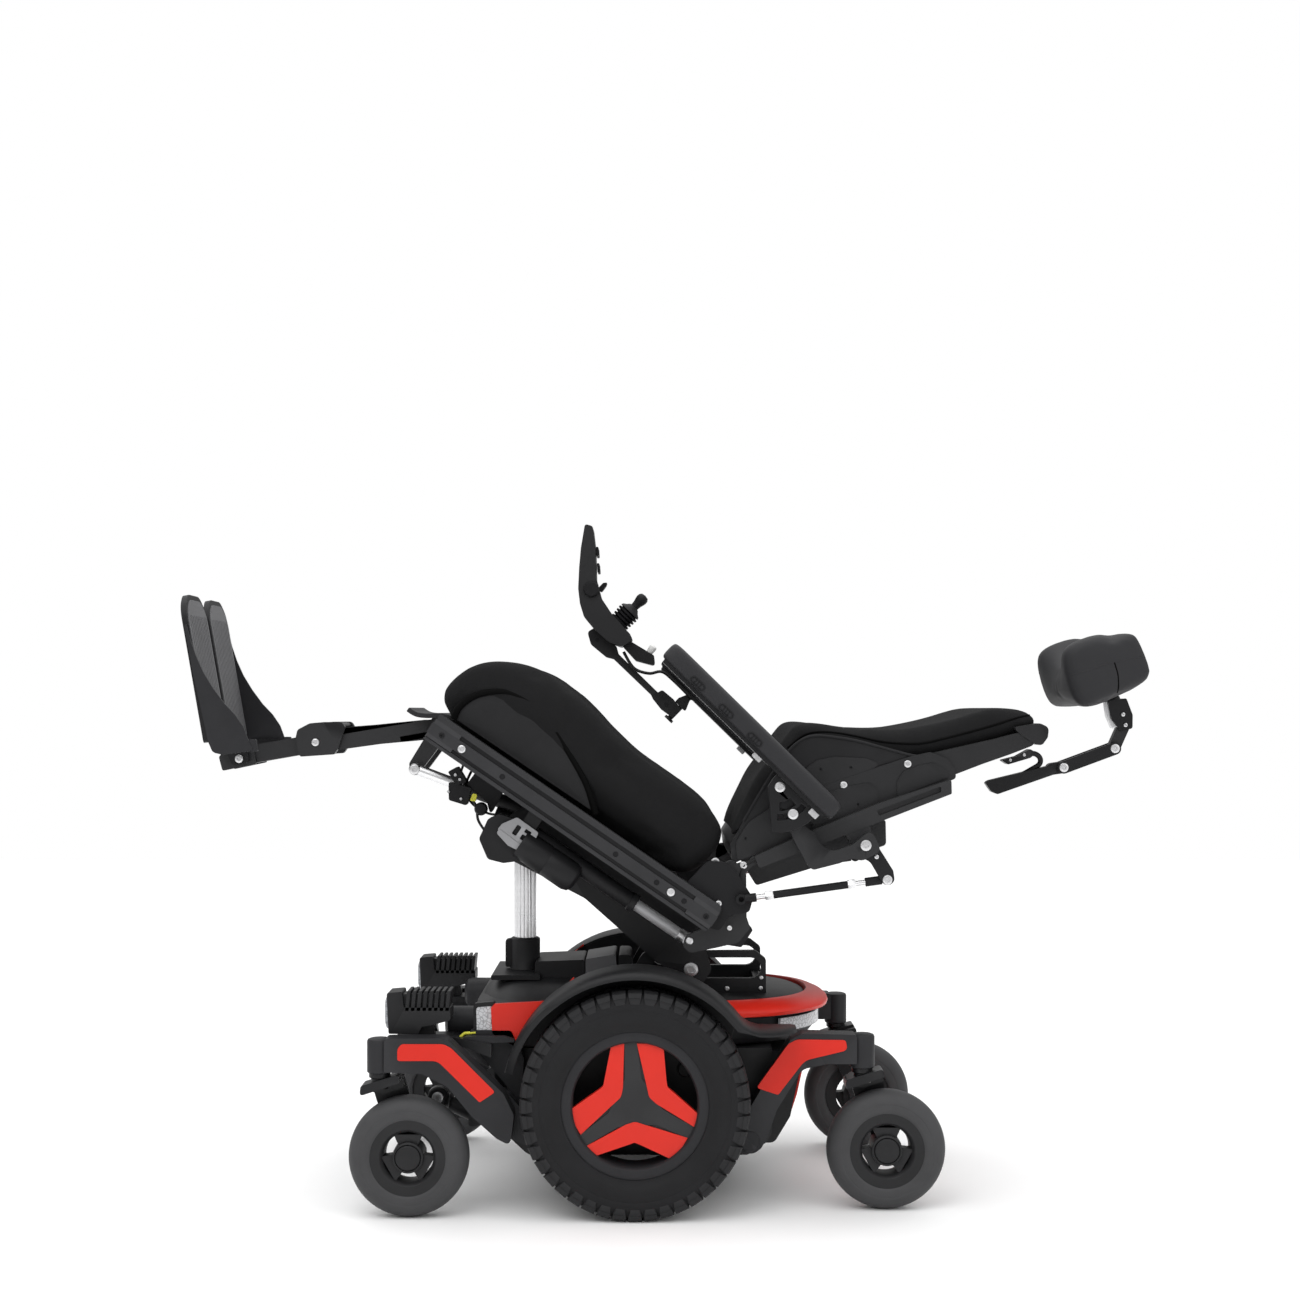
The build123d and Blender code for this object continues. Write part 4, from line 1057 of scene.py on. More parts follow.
def swell(piece, pressure, cap, voxel=VOXEL):
    """Inflates a closed shape as cloth, limits how far it may travel, and keeps the result as its mesh."""
    scene = bpy.context.scene
    bpy.context.view_layer.objects.active = piece
    remesh = piece.modifiers.new("voxels", "REMESH")
    remesh.mode = "VOXEL"
    remesh.voxel_size = voxel * MM
    graph = bpy.context.evaluated_depsgraph_get()
    mesh = bpy.data.meshes.new_from_object(piece.evaluated_get(graph))
    piece.modifiers.clear()
    piece.data = mesh
    start = [v.co.copy() for v in mesh.vertices]
    cloth = piece.modifiers.new("cloth", "CLOTH")
    cloth.settings.quality = 4
    cloth.settings.mass = 0.25
    cloth.settings.tension_stiffness = 14
    cloth.settings.compression_stiffness = 14
    cloth.settings.shear_stiffness = 6
    cloth.settings.bending_stiffness = 0.6
    cloth.settings.use_pressure = True
    cloth.settings.uniform_pressure_force = pressure
    cloth.settings.effector_weights.gravity = 0.0
    cloth.point_cache.frame_start = 1
    cloth.point_cache.frame_end = CLOTH_STEPS
    for step in range(1, CLOTH_STEPS + 1):
        scene.frame_set(step)
    graph = bpy.context.evaluated_depsgraph_get()
    moved = bpy.data.meshes.new_from_object(piece.evaluated_get(graph))
    piece.modifiers.clear()
    for vertex, origin in zip(moved.vertices, start):
        travel = vertex.co - origin
        limit = cap * MM
        if travel.length > limit:
            vertex.co = origin + travel.normalized() * limit
    piece.data = moved
    for _ in range(2):
        soften(moved, 0.5)
    scene.frame_set(1)


def soften(mesh, factor):
    """One pass of smoothing by neighbour averages."""
    bm = bmesh.new()
    bm.from_mesh(mesh)
    bmesh.ops.smooth_vert(bm, verts=bm.verts, factor=factor, use_axis_x=True, use_axis_y=True,
                          use_axis_z=True)
    bm.to_mesh(mesh)
    bm.free()


def loft(sections):
    """A closed skin through rings of points, capped at both ends."""
    bm = bmesh.new()
    skin = add_grid_skin(bm, sections, closed=True)
    bm.faces.new(skin[0])
    bm.faces.new(skin[-1][::-1])
    return bm


def depth_inward(outline, i, inward):
    """How far away the outline's far side is, looking inward from one of its points."""
    nearest = 1000.0
    here = Vector(outline[i])
    for j in range(len(outline)):
        a = Vector(outline[j - 1]) - here
        b = Vector(outline[j]) - here
        turn_a = inward.x * a.y - inward.y * a.x
        turn_b = inward.x * b.y - inward.y * b.x
        if turn_a * turn_b < 0:
            reach = (a + (b - a) * turn_a / (turn_a - turn_b)).dot(inward)
            if reach > 1.0:
                nearest = min(nearest, reach)
    return nearest


STATION_GAP = 12.0


def cushion(name, outline, half, where, body, replaces, edge, cap, dish):
    """A stuffed form: a side outline swept across the chair, its sides rounded over, then inflated."""
    outline = [Vector(p) for p in outline]
    centre = sum(outline, Vector((0, 0))) / len(outline)
    turns = 7
    round_over = [(half - edge * (1 - math.cos(math.pi / 2 * k / turns)),
                   edge * (1 - math.sin(math.pi / 2 * k / turns))) for k in range(turns + 1)]
    flat = half - edge
    gaps = round(2 * flat / STATION_GAP)
    stations = [(-y, pull) for y, pull in round_over]
    stations += [(-flat + 2 * flat * k / gaps, 0.0) for k in range(1, gaps)]
    stations += round_over[::-1]
    count = len(outline)
    normals = []
    room = []
    for i in range(count):
        along = (outline[(i + 1) % count] - outline[i - 1]).normalized()
        out = Vector((along.y, -along.x))
        if sum((outline[k - 1].x * outline[k].y - outline[k].x * outline[k - 1].y)
               for k in range(count)) < 0:
            out = -out
        normals.append(out)
        room.append(0.36 * depth_inward(outline, i, -out))
    sections = []
    for y, pull in stations:
        row = []
        for p, out, limit in zip(outline, normals, room):
            q = p - out * min(0.8 * pull + CUSHION_SHRINK, limit)
            q = q + dish(q, y)
            row.append((q.x, y, q.y))
        sections.append(row)
    piece = finish(name, to_mesh(name, loft(sections)), where, FABRIC, body, replaces=replaces)
    swell(piece, pressure=CUSHION_PRESSURE, cap=cap)
    dress(piece, FABRIC)
    return piece


def dress(piece, material):
    """Gives an inflated piece its finish again and a smoother skin."""
    piece.data.materials.clear()
    piece.data.materials.append(material)
    piece.data.shade_smooth()
    smooth = piece.modifiers.new("smooth", "SUBSURF")
    smooth.levels = 1
    smooth.render_levels = 1


def drape(piece, where, points, side, lift=0.0):
    """Slides (x, z) points across the chair until they touch a piece's side."""
    mesh = piece.data
    tree = BVHTree.FromPolygons([v.co for v in mesh.vertices], [list(p.vertices) for p in mesh.polygons])
    back_to_local = where.inverted()
    out = []
    for x, z in points:
        hit = tree.ray_cast(where @ (Vector((x, side * 400, z)) * MM), Vector((0, -side, 0)))[0]
        if hit is not None:
            out.append(Vector((x, (back_to_local @ hit).y / MM + side * lift, z)))
    return out


SEAT_TOP = spline([(-577, 132), (-589, 150), (-587, 176), (-577, 203), (-561, 224), (-540, 240),
                   (-509, 255), (-481, 261), (-441, 263), (-392, 259), (-325, 245), (-271, 236),
                   (-220, 235), (-144, 234), (-92, 226), (-77, 200)], 3)
SEAT_UNDERSIDE = [(-77, 165), (-90, 134), (-110, 124)]
SEAT_UNDERSIDE += [(-110 - 36 * k, 123.5) for k in range(1, 12)]
SEAT_UNDERSIDE.append((-545, 125))
SEAT_OUTLINE = [tuple(p) for p in SEAT_TOP] + SEAT_UNDERSIDE


def seat_dish(q, y):
    """The middle of the seat lies lower than its sides."""
    if q.y < 170:
        return Vector((0, 0))
    mid = max(0.0, 1 - (y / 185) ** 2) ** 1.5
    return Vector((0, -24 * mid * min(1.0, (q.y - 170) / 50)))


seat_cushion = cushion("seat_cushion_cover", SEAT_OUTLINE, 216, SEAT, "seat", ("seat_cushion",), edge=30,
                       cap=10.0, dish=seat_dish)

panel_line = spline([(-540, 126), (-543, 146), (-534, 172), (-516, 192), (-492, 206), (-455, 211),
                     (-406, 199), (-358, 179), (-314, 157), (-277, 128)], 6)
for side, sign in SIDES:
    # side panel: a smooth inset with piping along its curved edge
    ring = [Vector(p) for p in panel_line]
    centre = Vector((-430, 160))
    bm = bmesh.new()
    rows = []
    for inset, out in ((0.0, -16), (0.0, 1.5), (0.012, 4.5), (0.04, 6.5), (0.14, 8.0), (0.42, 9.0),
                       (0.97, 9.2)):
        rows.append([((p.x + (centre.x - p.x) * inset), sign * (213 + out),
                      p.y + (centre.y - p.y) * inset) for p in ring])
    skin = add_grid_skin(bm, rows, closed=True)
    bm.faces.new(skin[-1])
    finish("seat_side_panel_" + side, to_mesh("panel", bm), SEAT, FABRIC_SIDE, "seat")
    groove = [p + (p - centre).normalized() * 4 for p in ring]
    tube("seat_piping_" + side, [(p.x, sign * 217, p.y) for p in groove], 5.4, SEAT, PIPING, "seat",
         steps=10)

# -------------------------------------------------- recline and legrest actuators
gear = bmesh.new()
windows = [rounded([(-366, 27, 2), (-366, 44, 2), (-358, 44, 2), (-358, 27, 2)], 3),
           rounded([(-351, 27, 2), (-351, 36, 2), (-340, 36, 2), (-340, 27, 2)], 3),
           rounded([(-351, 40, 1), (-351, 46, 1), (-340, 46, 1), (-340, 40, 1)], 3)]
add_plate(gear, rounded([(-388, 19, 4), (-387, 31, 4), (-373, 53, 5), (-331, 52, 4), (-327, 21, 5),
                         (-360, 14, 5)]), -210, -204, holes=windows)
add_plate(gear, rounded([(-386, 14, 5), (-386, 22, 4), (-330, 20, 4), (-330, 12, 5), (-360, 8, 5)]),
          -212, -190)
finish("recline_gearbox", to_mesh("gear", gear), SEAT, CAST, "seat", replaces=("recline_actuator",),
       bevel=1.2)
bm = bmesh.new()
add_plate(bm, rounded([(-410, 24, 8), (-400, 40, 8), (-374, 48, 6), (-333, 48, 4), (-330, -2, 8),
                       (-350, -20, 10), (-374, -29, 10), (-404, -10, 10)], 6), -204, -168)
finish("recline_housing", to_mesh("housing", bm), SEAT, PLASTIC, "seat", bevel=4.0, segments=4)
bm = bmesh.new()
add_lathe(bm, [(0, -345), (24, -345), (25, -342), (25, -296), (24, -294), (25, -292), (25, -252),
               (22, -243), (14, -238), (0, -237)], 0, 22, steps=56, axis="X", y=-196)
add_lathe(bm, [(10, -335), (14, -335), (14, -150), (16, -148), (16, -139), (10, -138), (10, -335)], 0,
          43, steps=40, axis="X", y=-185)
add_plate(bm, rounded([(-362, 50, 2), (-364, 100, 4), (-362, 107, 2), (-338, 107, 2), (-338, 50, 2)]),
          -204, -168)
finish("recline_motor", to_mesh("motor", bm), SEAT, PLASTIC, "seat")
bm = bmesh.new()
add_tube(bm, [(-200, -185, 43), (-44, -185, 43)], 9.6, steps=32)
finish("recline_piston", to_mesh("piston", bm), SEAT, SATIN, "recline_rod", replaces=("recline_rod",))
bm = bmesh.new()
add_lathe(bm, [(0, -199), (9, -199), (11.5, -197), (12, -196), (12, -174), (0, -174)], -34, 44, steps=40)
add_tube(bm, [(-56, -186, 43), (-38, -186, 43)], 10.6, steps=24)
finish("recline_rod_end", to_mesh("rod_end", bm), SEAT, STEEL, "recline_rod", bevel=0.8)
bolts("recline_rod_bolt", [(-34, -199, 44, 9.6)], SEAT, "recline_rod")

LEG_ROD = SEAT @ Matrix.Translation((-0.561, -0.070, 0.012)) @ Matrix.Rotation(math.radians(-14), 4, "Y")
bm = bmesh.new()
add_tube(bm, [(84, 0, 0), (236, 0, 0)], 12, steps=28)
add_tube(bm, [(150, 0, -24), (236, 0, -24)], 13, steps=28)
add_plate(bm, rounded([(230, -38, 6), (230, 14, 6), (276, 16, 6), (278, -20, 8), (262, -38, 8)]), -17, 18)
add_plate(bm, rounded([(246, 8, 4), (242, 30, 4), (262, 32, 4), (268, 10, 4)]), -8, 8)
finish("legrest_drive", to_mesh("leg_drive", bm), LEG_ROD, PLASTIC, "seat",
       replaces=("legrest_actuator",), bevel=1.2)
bm = bmesh.new()
add_tube(bm, [(8, 0, 0), (170, 0, 0)], 9.4, steps=28)
finish("legrest_piston", to_mesh("leg_piston", bm), LEG_ROD, SILVER, "legrest_rod",
       replaces=("legrest_rod",))
bm = bmesh.new()
add_lathe(bm, [(0, -8), (8.5, -8), (10, -6), (10, 6), (8.5, 8), (0, 8)], 0, 0, steps=32)
add_tube(bm, [(6, 0, 0), (20, 0, 0)], 9.4, steps=24)
finish("legrest_rod_end", to_mesh("leg_end", bm), LEG_ROD, STEEL, "legrest_rod")
bolts("legrest_end_bolt", [(0, -8.5, 0, 8.6)], LEG_ROD, "legrest_rod")

# cables and small fittings under the front of the seat
tube("seat_cable_a", spline([(-480, -120, 70), (-470, -150, 40), (-440, -150, 26), (-424, -160, 10),
                             (-404, -168, 2)], 6), 2.2, SEAT, CABLE, "seat", steps=10)
tube("seat_cable_b", spline([(-500, -90, 72), (-486, -110, 40), (-450, -130, 24), (-420, -150, 26),
                             (-404, -168, 34)], 6), 2.0, SEAT, CABLE, "seat", steps=10)
bm = bmesh.new()
add_plate(bm, rounded([(-508, 46, 3), (-500, 62, 3), (-474, 50, 3), (-484, 35, 3)]), -158, -128)
add_plate(bm, rounded([(-498, 33, 3), (-462, 46, 3), (-452, 18, 4), (-481, 9, 4)]), -156, -132)
add_plate(bm, rounded([(-472, 46, 4), (-470, 107, 4), (-420, 107, 4), (-412, 26, 8), (-428, 40, 8)]),
          -150, -138)
add_lathe(bm, [(0, -166), (8.5, -165), (10.7, -161), (10.7, -152), (8, -148), (0, -148)], -430, 27,
          steps=32)
finish("seat_fittings", to_mesh("switches", bm), SEAT, RUBBER, "seat", bevel=1.2)
bolts("fitting_bolts", [(-495, -158, 49, 2.8), (-485, -158, 47, 2.8), (-489, -156, 20, 2.6),
                        (-466, -156, 22, 2.6)], SEAT, "seat")
bm = bmesh.new()
add_plate(bm, rounded([(-452, 28, 2), (-455, 40, 2), (-448, 43, 2), (-444, 32, 2)]), -162, -150)
finish("seat_yellow_cap", to_mesh("cap", bm), SEAT, YELLOW, "seat", bevel=0.6)
block = rounded([(127.6, 424.7, 4), (157, 441, 4), (177, 446, 4), (189, 431, 4), (170.5, 403, 4),
                 (149, 406.5, 4)])
plate("seat_rear_block", block, -160, -140, BASE, PLASTIC_GREY, "seat", bevel=2.0)

# -------------------------------------------------- back: lever plates, rails, shell, cushion
bm = bmesh.new()
lever = rounded([(-16, 16, 5), (-5, 28, 6), (-2, 52, 6), (-6, 60, 4), (0, 128, 3), (13, 126, 4),
                 (14, 112, 3), (8, 56, 6), (13, 41, 12), (80, 14, 6), (98, 13, 6), (112, -14, 8),
                 (106, -50, 8), (98, -90, 10), (84, -98, 10), (70, -86, 8), (70, -56, 8), (58, -16, 10),
                 (30, 1, 12), (4, 8, 8)], 6)
for sign in (-1, 1):
    add_plate(bm, lever, *span(sign, 205, 215))
    add_plate(bm, link_ring((0, 0), (-2, 22), 11), *span(sign, 205, 213))
finish("back_levers", to_mesh("levers", bm), BACK, PAINT, "back", replaces=("back_frame",), bevel=1.8,
       segments=3)
bm = bmesh.new()
rib = [(6, 118), (1, 66), (5, 40), (24, 26), (58, 12), (70, -20)]
for sign in (-1, 1):
    add_plate(bm, strip(spline(rib, 6), 4.0), *span(sign, 214, 217.5))
finish("lever_ribs", to_mesh("ribs", bm), BACK, PAINT, "back", bevel=1.4)
bolts("lever_bolts", [(1.7, -215, 41, 6), (0, -215, 0, 8.5), (-20, -215, 1.5, 7)], BACK, "back", both=True)
bolts("lever_low_bolts", [(80, -215, -84, 6)], BACK, "back", both=True)

bm = bmesh.new()
for sign in (-1, 1):
    rail = rounded([(-6, 62, 3), (-9, 160, 3), (-8, 276, 6), (1, 395, 3), (22, 387, 3), (19.5, 275, 3),
                    (14, 62, 3)])
    slot = rounded([(1, 268, 2), (4.5, 376, 3), (13, 373, 3), (10, 268, 2)])
    add_plate(bm, rail, *span(sign, 214, 227))
    add_plate(bm, rail, *span(sign, 227, 233), holes=[slot])
    add_plate(bm, rounded([(10, 206, 6), (10, 250, 6), (52, 244, 8), (56, 214, 8)]), *span(sign, 216, 232))
for low, high in ((70, 120), (330, 370)):
    add_plate(bm, rounded([(3, low, 3), (3, high, 3), (15, high, 3), (15, low, 3)]), -216, 216)
low_box = rounded([(8, 42, 4), (8, 268, 4), (28, 280, 4), (64, 266, 8), (44, 48, 6)])
for sign in (-1, 1):
    add_plate(bm, low_box, *span(sign, 128, 168))
finish("back_rails", to_mesh("rails", bm), BACK, PAINT, "back", bevel=1.0)

SHELL_SIDE = [(-6, 26, 6), (-36, 34, 10), (-62, 70, 24), (-72, 120, 20), (-76, 190, 20), (-70, 240, 24),
              (-64, 300, 20), (-54, 352, 20), (-46, 392, 12), (-38, 440, 10), (-30, 486, 8),
              (-24, 530, 8), (3, 544, 6), (2, 500, 6), (-3, 412, 4), (-6, 300, 4), (-8, 160, 6)]
bm = bmesh.new()
add_plate(bm, rounded(SHELL_SIDE, 6), -207, 207)
finish("back_shell_piece", to_mesh("shell", bm), BACK, SHELL, "back", replaces=("back_shell",),
       bevel=7.0, segments=5)

for side, sign in SIDES:
    # wing: the shell's raised side that cradles the cushion
    bm = bmesh.new()
    wing = [(-32, 34), (-62, 68), (-98, 116), (-124, 153), (-140, 182), (-146, 204), (-144, 224),
            (-130, 252), (-110, 284), (-84, 318), (-58, 352), (-50, 366), (-62, 300), (-66, 230),
            (-66, 160), (-54, 100), (-34, 56)]
    outline = [tuple(p) for p in spline(wing, 5, closed=True)]
    add_plate(bm, outline, *span(sign, 200, 208))
    finish("shell_wing_" + side, to_mesh("wing", bm), BACK, SHELL, "back", bevel=3.0, segments=4)
    # piping cord along the wing's outer edge, in the lighter side cover; the lighter colour is also a painted
    # highlight along this edge
    edge = spline(wing[1:12], 6)
    tube("wing_piping_painted_highlight_" + side, [(p.x, sign * 208.5, p.y) for p in edge], 2.4, BACK, FABRIC_SIDE,
         "back", steps=10)
    # hip bulge and the raised panels that cover the rail brackets
    bm = bmesh.new()
    bump = rounded([(-60, 150, 20), (-102, 192, 16), (-107, 212, 14), (-102, 240, 20), (-80, 286, 24),
                    (-62, 304, 14), (-58, 240, 20)], 7)
    add_plate(bm, bump, *span(sign, 205, 211))
    finish("shell_bump_" + side, to_mesh("bump", bm), BACK, SHELL, "back", bevel=3.0, segments=4)
    bm = bmesh.new()
    cover = rounded([(-8, 34, 6), (-36, 44, 12), (-58, 74, 24), (-66, 118, 20), (-66, 200, 16),
                     (-60, 300, 20), (-56, 352, 16), (-50, 384, 10), (-30, 405, 14), (-8, 409, 8),
                     (4, 405, 6), (2, 300, 4), (0, 160, 6)], 6)
    add_plate(bm, cover, *span(sign, 204, 212))
    finish("shell_cover_" + side, to_mesh("cover", bm), BACK, SHELL, "back", bevel=2.6, segments=4)
    bm = bmesh.new()
    inset = rounded([(-5, 308, 3), (-27, 316, 12), (-39, 332, 12), (-38, 356, 16), (-33, 382, 14),
                     (-14, 396, 12), (-3, 398, 4)], 6)
    add_plate(bm, inset, *span(sign, 211, 214))
    inset = rounded([(-8, 164, 4), (-50, 170, 8), (-54, 207, 10), (-50, 243, 16), (-43, 276, 14),
                     (-30, 284, 10), (-7, 275, 4)], 6)
    add_plate(bm, inset, *span(sign, 211, 214))
    finish("shell_insets_" + side, to_mesh("insets", bm), BACK, SHELL, "back", bevel=2.0, segments=4)
    # cap that closes the top of the shell
    bm = bmesh.new()
    cap = rounded([(-36, 520, 8), (-26, 562, 12), (-14, 573, 10), (0, 565, 10), (8, 552, 8),
                   (3, 543, 6), (-19, 528, 8)], 6)
    add_plate(bm, cap, *span(sign, 150, 209))
    finish("shell_cap_" + side, to_mesh("cap", bm), BACK, SHELL, "back", bevel=5.0, segments=4)
bolts("shell_bolts", [(-54.5, -211.5, 236.3, 6), (-46.7, -211.5, 343, 6)], BACK, "back", both=True)
bolts("shell_pins", [(x, -y, z, 2.0) for x, z, y in ((-92, 213, 210.5), (-76, 258, 210.5),
                                                     (-36, 60, 211.5), (-18, 246, 213.5),
                                                     (-16, 166, 213.5), (-60, 100, 207.5))], BACK,
      "back", RUBBER, both=True)
bm = bmesh.new()
add_plate(bm, rounded([(-22, 380, 4), (-24, 566, 8), (-12, 573, 8), (6, 556, 6), (2, 400, 4)]), -160, 160)
finish("shell_crown", to_mesh("crown", bm), BACK, SHELL, "back", bevel=5.0, segments=4)

BACK_TOP = [tuple(p) for p in spline([(-42, 38), (-64, 58), (-91, 88), (-117, 118), (-139, 155),
                                      (-158, 184), (-168, 205), (-160, 230), (-137, 270), (-117, 308),
                                      (-98, 352), (-88, 390), (-79, 440), (-72, 500), (-60, 532),
                                      (-42, 566)], 4)]
BACK_OUTLINE = BACK_TOP + [(-24, 568), (-16, 548), (-18, 510), (-24, 450), (-34, 400), (-44, 350),
                           (-56, 300), (-62, 240), (-64, 180), (-60, 130), (-46, 80), (-36, 48)]


def back_dish(q, y):
    """The middle of the back lies deeper than its side bolsters."""
    if q.x > -90:
        return Vector((0, 0))
    mid = max(0.0, 1 - (y / 170) ** 2) ** 1.5
    return Vector((18 * mid * min(1.0, (-90 - q.x) / 50), 0))


back_cushion = cushion("back_cushion_cover", BACK_OUTLINE, 198, BACK, "back", ("back_cushion",), edge=22,
                       cap=6.0, dish=back_dish)
for side, sign in SIDES:
    seam = spline([(-142, 178), (-151, 209), (-147, 233), (-133, 262), (-117, 287), (-93, 322),
                   (-74, 360), (-65, 387), (-57, 437), (-50, 492), (-46, 537), (-40, 562)], 6)
    tube("back_seam_" + side, drape(back_cushion, BACK, seam, sign), 1.8, BACK, PIPING, "back", steps=8)

# -------------------------------------------------- armrest brackets, pads, levers and tie rods
for side, sign in SIDES:
    bm = bmesh.new()
    ell = rounded([(-26, 128, 6), (-26, 150, 4), (-7, 161, 6), (16, 165, 16), (31, 177, 20),
                   (33, 210, 16), (24, 241, 10), (30, 246, 6), (60, 248, 12), (62, 214, 14),
                   (52, 200, 14), (52, 180, 6), (46, 138, 8), (38, 133, 8), (-10, 128, 8)], 6)
    add_plate(bm, ell, *span(sign, 254, 264), holes=[circle(42, 228.5, 7.6, 24)])
    add_plate(bm, rounded([(-102, 128, 8), (-100, 150, 8), (-20, 152, 4), (-20, 129, 4)]),
              *span(sign, 255, 263))
    finish("armrest_bracket_" + side, to_mesh("bracket", bm), BACK, PAINT, "armrest_" + side,
           replaces=("arm_bracket_" + side,), bevel=1.8, segments=3)
    # quadrant plate with a curved slot under the pad
    bm = bmesh.new()
    quad = [(-17, 14), (-17, 2), (-14, -12), *sector(0, 71, -56, 8)[1:], (72, 14)]
    add_plate(bm, quad, *span(sign, 264, 275), holes=[sector(24, 37, -46, -4), sector(42.5, 51.5, -50, 6)])
    finish("armrest_quadrant_" + side, to_mesh("quadrant", bm), ARM, PAINT, "armrest_" + side,
           bevel=1.6, segments=3)
    bolts("armrest_bolts_" + side, [(0, sign * 275, 0, 8.5), (44, sign * 275, -16, 8.5)], ARM,
          "armrest_" + side)
    bm = bmesh.new()
    for x, z in ((-58, 12), (66, 10)):
        add_plate(bm, rounded([(x - 8, z - 8, 2), (x - 8, z + 7, 2), (x + 8, z + 7, 2), (x + 8, z - 8, 2)]),
                  *span(sign, 266, 279))
    finish("armrest_clamps_" + side, to_mesh("clamps", bm), ARM, STEEL, "armrest_" + side, bevel=1.2)
    bm = bmesh.new()
    add_plate(bm, rounded([(-12, 10, 3), (8, 12, 3), (36, -18, 8), (20, -22, 8), (-6, -14, 6)]),
              *span(sign, 262, 271))
    finish("armrest_stop_" + side, to_mesh("stop", bm), ARM, RUBBER, "armrest_" + side, bevel=1.0)

for side, sign in SIDES:
    # pad: moulded skin over foam with a groove and three finger recesses
    bm = bmesh.new()
    rows = []
    stations = [(-274, 0.0), (-273, 0.45), (-270, 0.75), (-262, 0.93), (-250, 1.0), (-180, 1.0),
                (-60, 1.0), (40, 1.0), (66, 0.98), (80, 0.88), (88, 0.62), (90, 0.3), (90.5, 0.0)]
    section = [(-1.0, 20), (-1.0, 30), (-0.97, 38), (-0.88, 44.5), (-0.6, 47.5), (0, 48.5), (0.6, 47.5),
               (0.88, 44.5), (0.97, 38), (1.0, 30), (1.0, 20), (0.92, 16.5), (0, 15.5), (-0.92, 16.5)]
    for x, wide in stations:
        ring = []
        for across, z in section:
            mid = 31 - (0 if x < 60 else (x - 60) * 0.18)
            ring.append((x, sign * 270 + 34 * across * (0.7 + 0.3 * wide) * (0.35 + 0.65 * wide ** 0.5),
                         mid + (z - mid) * (0.35 + 0.65 * wide ** 0.5)))
        rows.append(ring)
    finish("armrest_pad_" + side, to_mesh("pad", loft(rows)), ARM, SKIN, "armrest_" + side,
           replaces=("arm_pad_" + side,), subdivide=2)
    bm = bmesh.new()
    add_plate(bm, rounded([(-266, 11, 3), (-268, 20, 3), (80, 20, 3), (74, 11, 3)]), *span(sign, 244, 296))
    finish("armrest_base_" + side, to_mesh("base", bm), ARM, PAINT, "armrest_" + side, bevel=1.4)
    for k, x in enumerate((-204, -143, -81)):
        bm = bmesh.new()
        ring = [tuple(p) for p in slot_ring(x - 8, x + 8, 24.5, 6.2)]
        inner = [tuple(p) for p in slot_ring(x - 8, x + 8, 24.5, 3.8)]
        add_plate(bm, ring, *span(sign, 300, 305.4), holes=[inner])
        for step in (-5, 0, 5):
            add_plate(bm, [(x + step - 1, 20.5), (x + step + 1, 20.5), (x + step + 1, 28.5),
                           (x + step - 1, 28.5)], *span(sign, 300, 304.6))
        finish("pad_vent_%s_%d" % (side, k), to_mesh("vent", bm), ARM, RUBBER, "armrest_" + side, bevel=0.8)

bm = bmesh.new()
for sign in (-1, 1):
    crank = rounded([(32, 218, 10), (28, 238, 12), (50, 246, 12), (96, 254, 10), (112, 250, 10),
                     (116, 238, 10), (102, 230, 14), (70, 226, 20), (56, 214, 12)], 6)
    add_plate(bm, crank, *span(sign, 247, 252))
finish("armrest_cranks", to_mesh("cranks", bm), BACK, PAINT, "arm_levers", replaces=("arm_levers",),
       bevel=1.2)
bolts("crank_bolts", [(42, -264, 228.5, 9)], BACK, "back", both=True)
bolts("crank_small_bolts", [(66, -252, 238, 3.6)], BACK, "arm_levers", both=True)
bolts("crank_end_bolts", [(106, -252, 240, 8)], BACK, "arm_levers", both=True)

ROD_FRONT = SEAT @ Vector((-0.009, 0, 0.148))
ROD_REAR = BACK @ Vector((0.106, 0, 0.240))
rod_line = ROD_REAR - ROD_FRONT
ROD = Matrix.Translation(ROD_FRONT) @ Matrix.Rotation(-math.atan2(rod_line.z, rod_line.x), 4, "Y")
rod_length = rod_line.length / MM
bm = bmesh.new()
sleeve_bm = bmesh.new()
for sign in (-1, 1):
    y = sign * 240.5
    add_tube(bm, [(8, y, 0), (rod_length - 18, y, 0)], 4.0, steps=20)
    for x in (38, rod_length - 62):
        add_lathe(bm, [(0, x), (6.4, x), (7.6, x + 2), (7.6, x + 11), (6.4, x + 13), (0, x + 13)], 0, 0,
                  steps=6, axis="X", y=y)
    add_tube(sleeve_bm, [(51, y, 0), (rod_length - 62, y, 0)], 6.0, steps=24)
    add_tube(sleeve_bm, [(rod_length - 34, y, 0), (rod_length - 8, y, 0)], 7.0, steps=20)
    add_tube(sleeve_bm, [(6, y, 0), (24, y, 0)], 7.0, steps=20)
    for x in (0, rod_length):
        add_lathe(sleeve_bm, [(4.2, y - 4.4), (8.5, y - 4.4), (8.5, y + 4.4), (4.2, y + 4.4),
                              (4.2, y - 4.4)], x, 0, steps=32)
finish("tie_rods", to_mesh("tie_rods", bm), ROD, SILVER, "arm_links", replaces=("arm_links",))
finish("tie_rod_sleeves", to_mesh("tie_sleeves", sleeve_bm), ROD, RUBBER, "arm_links")

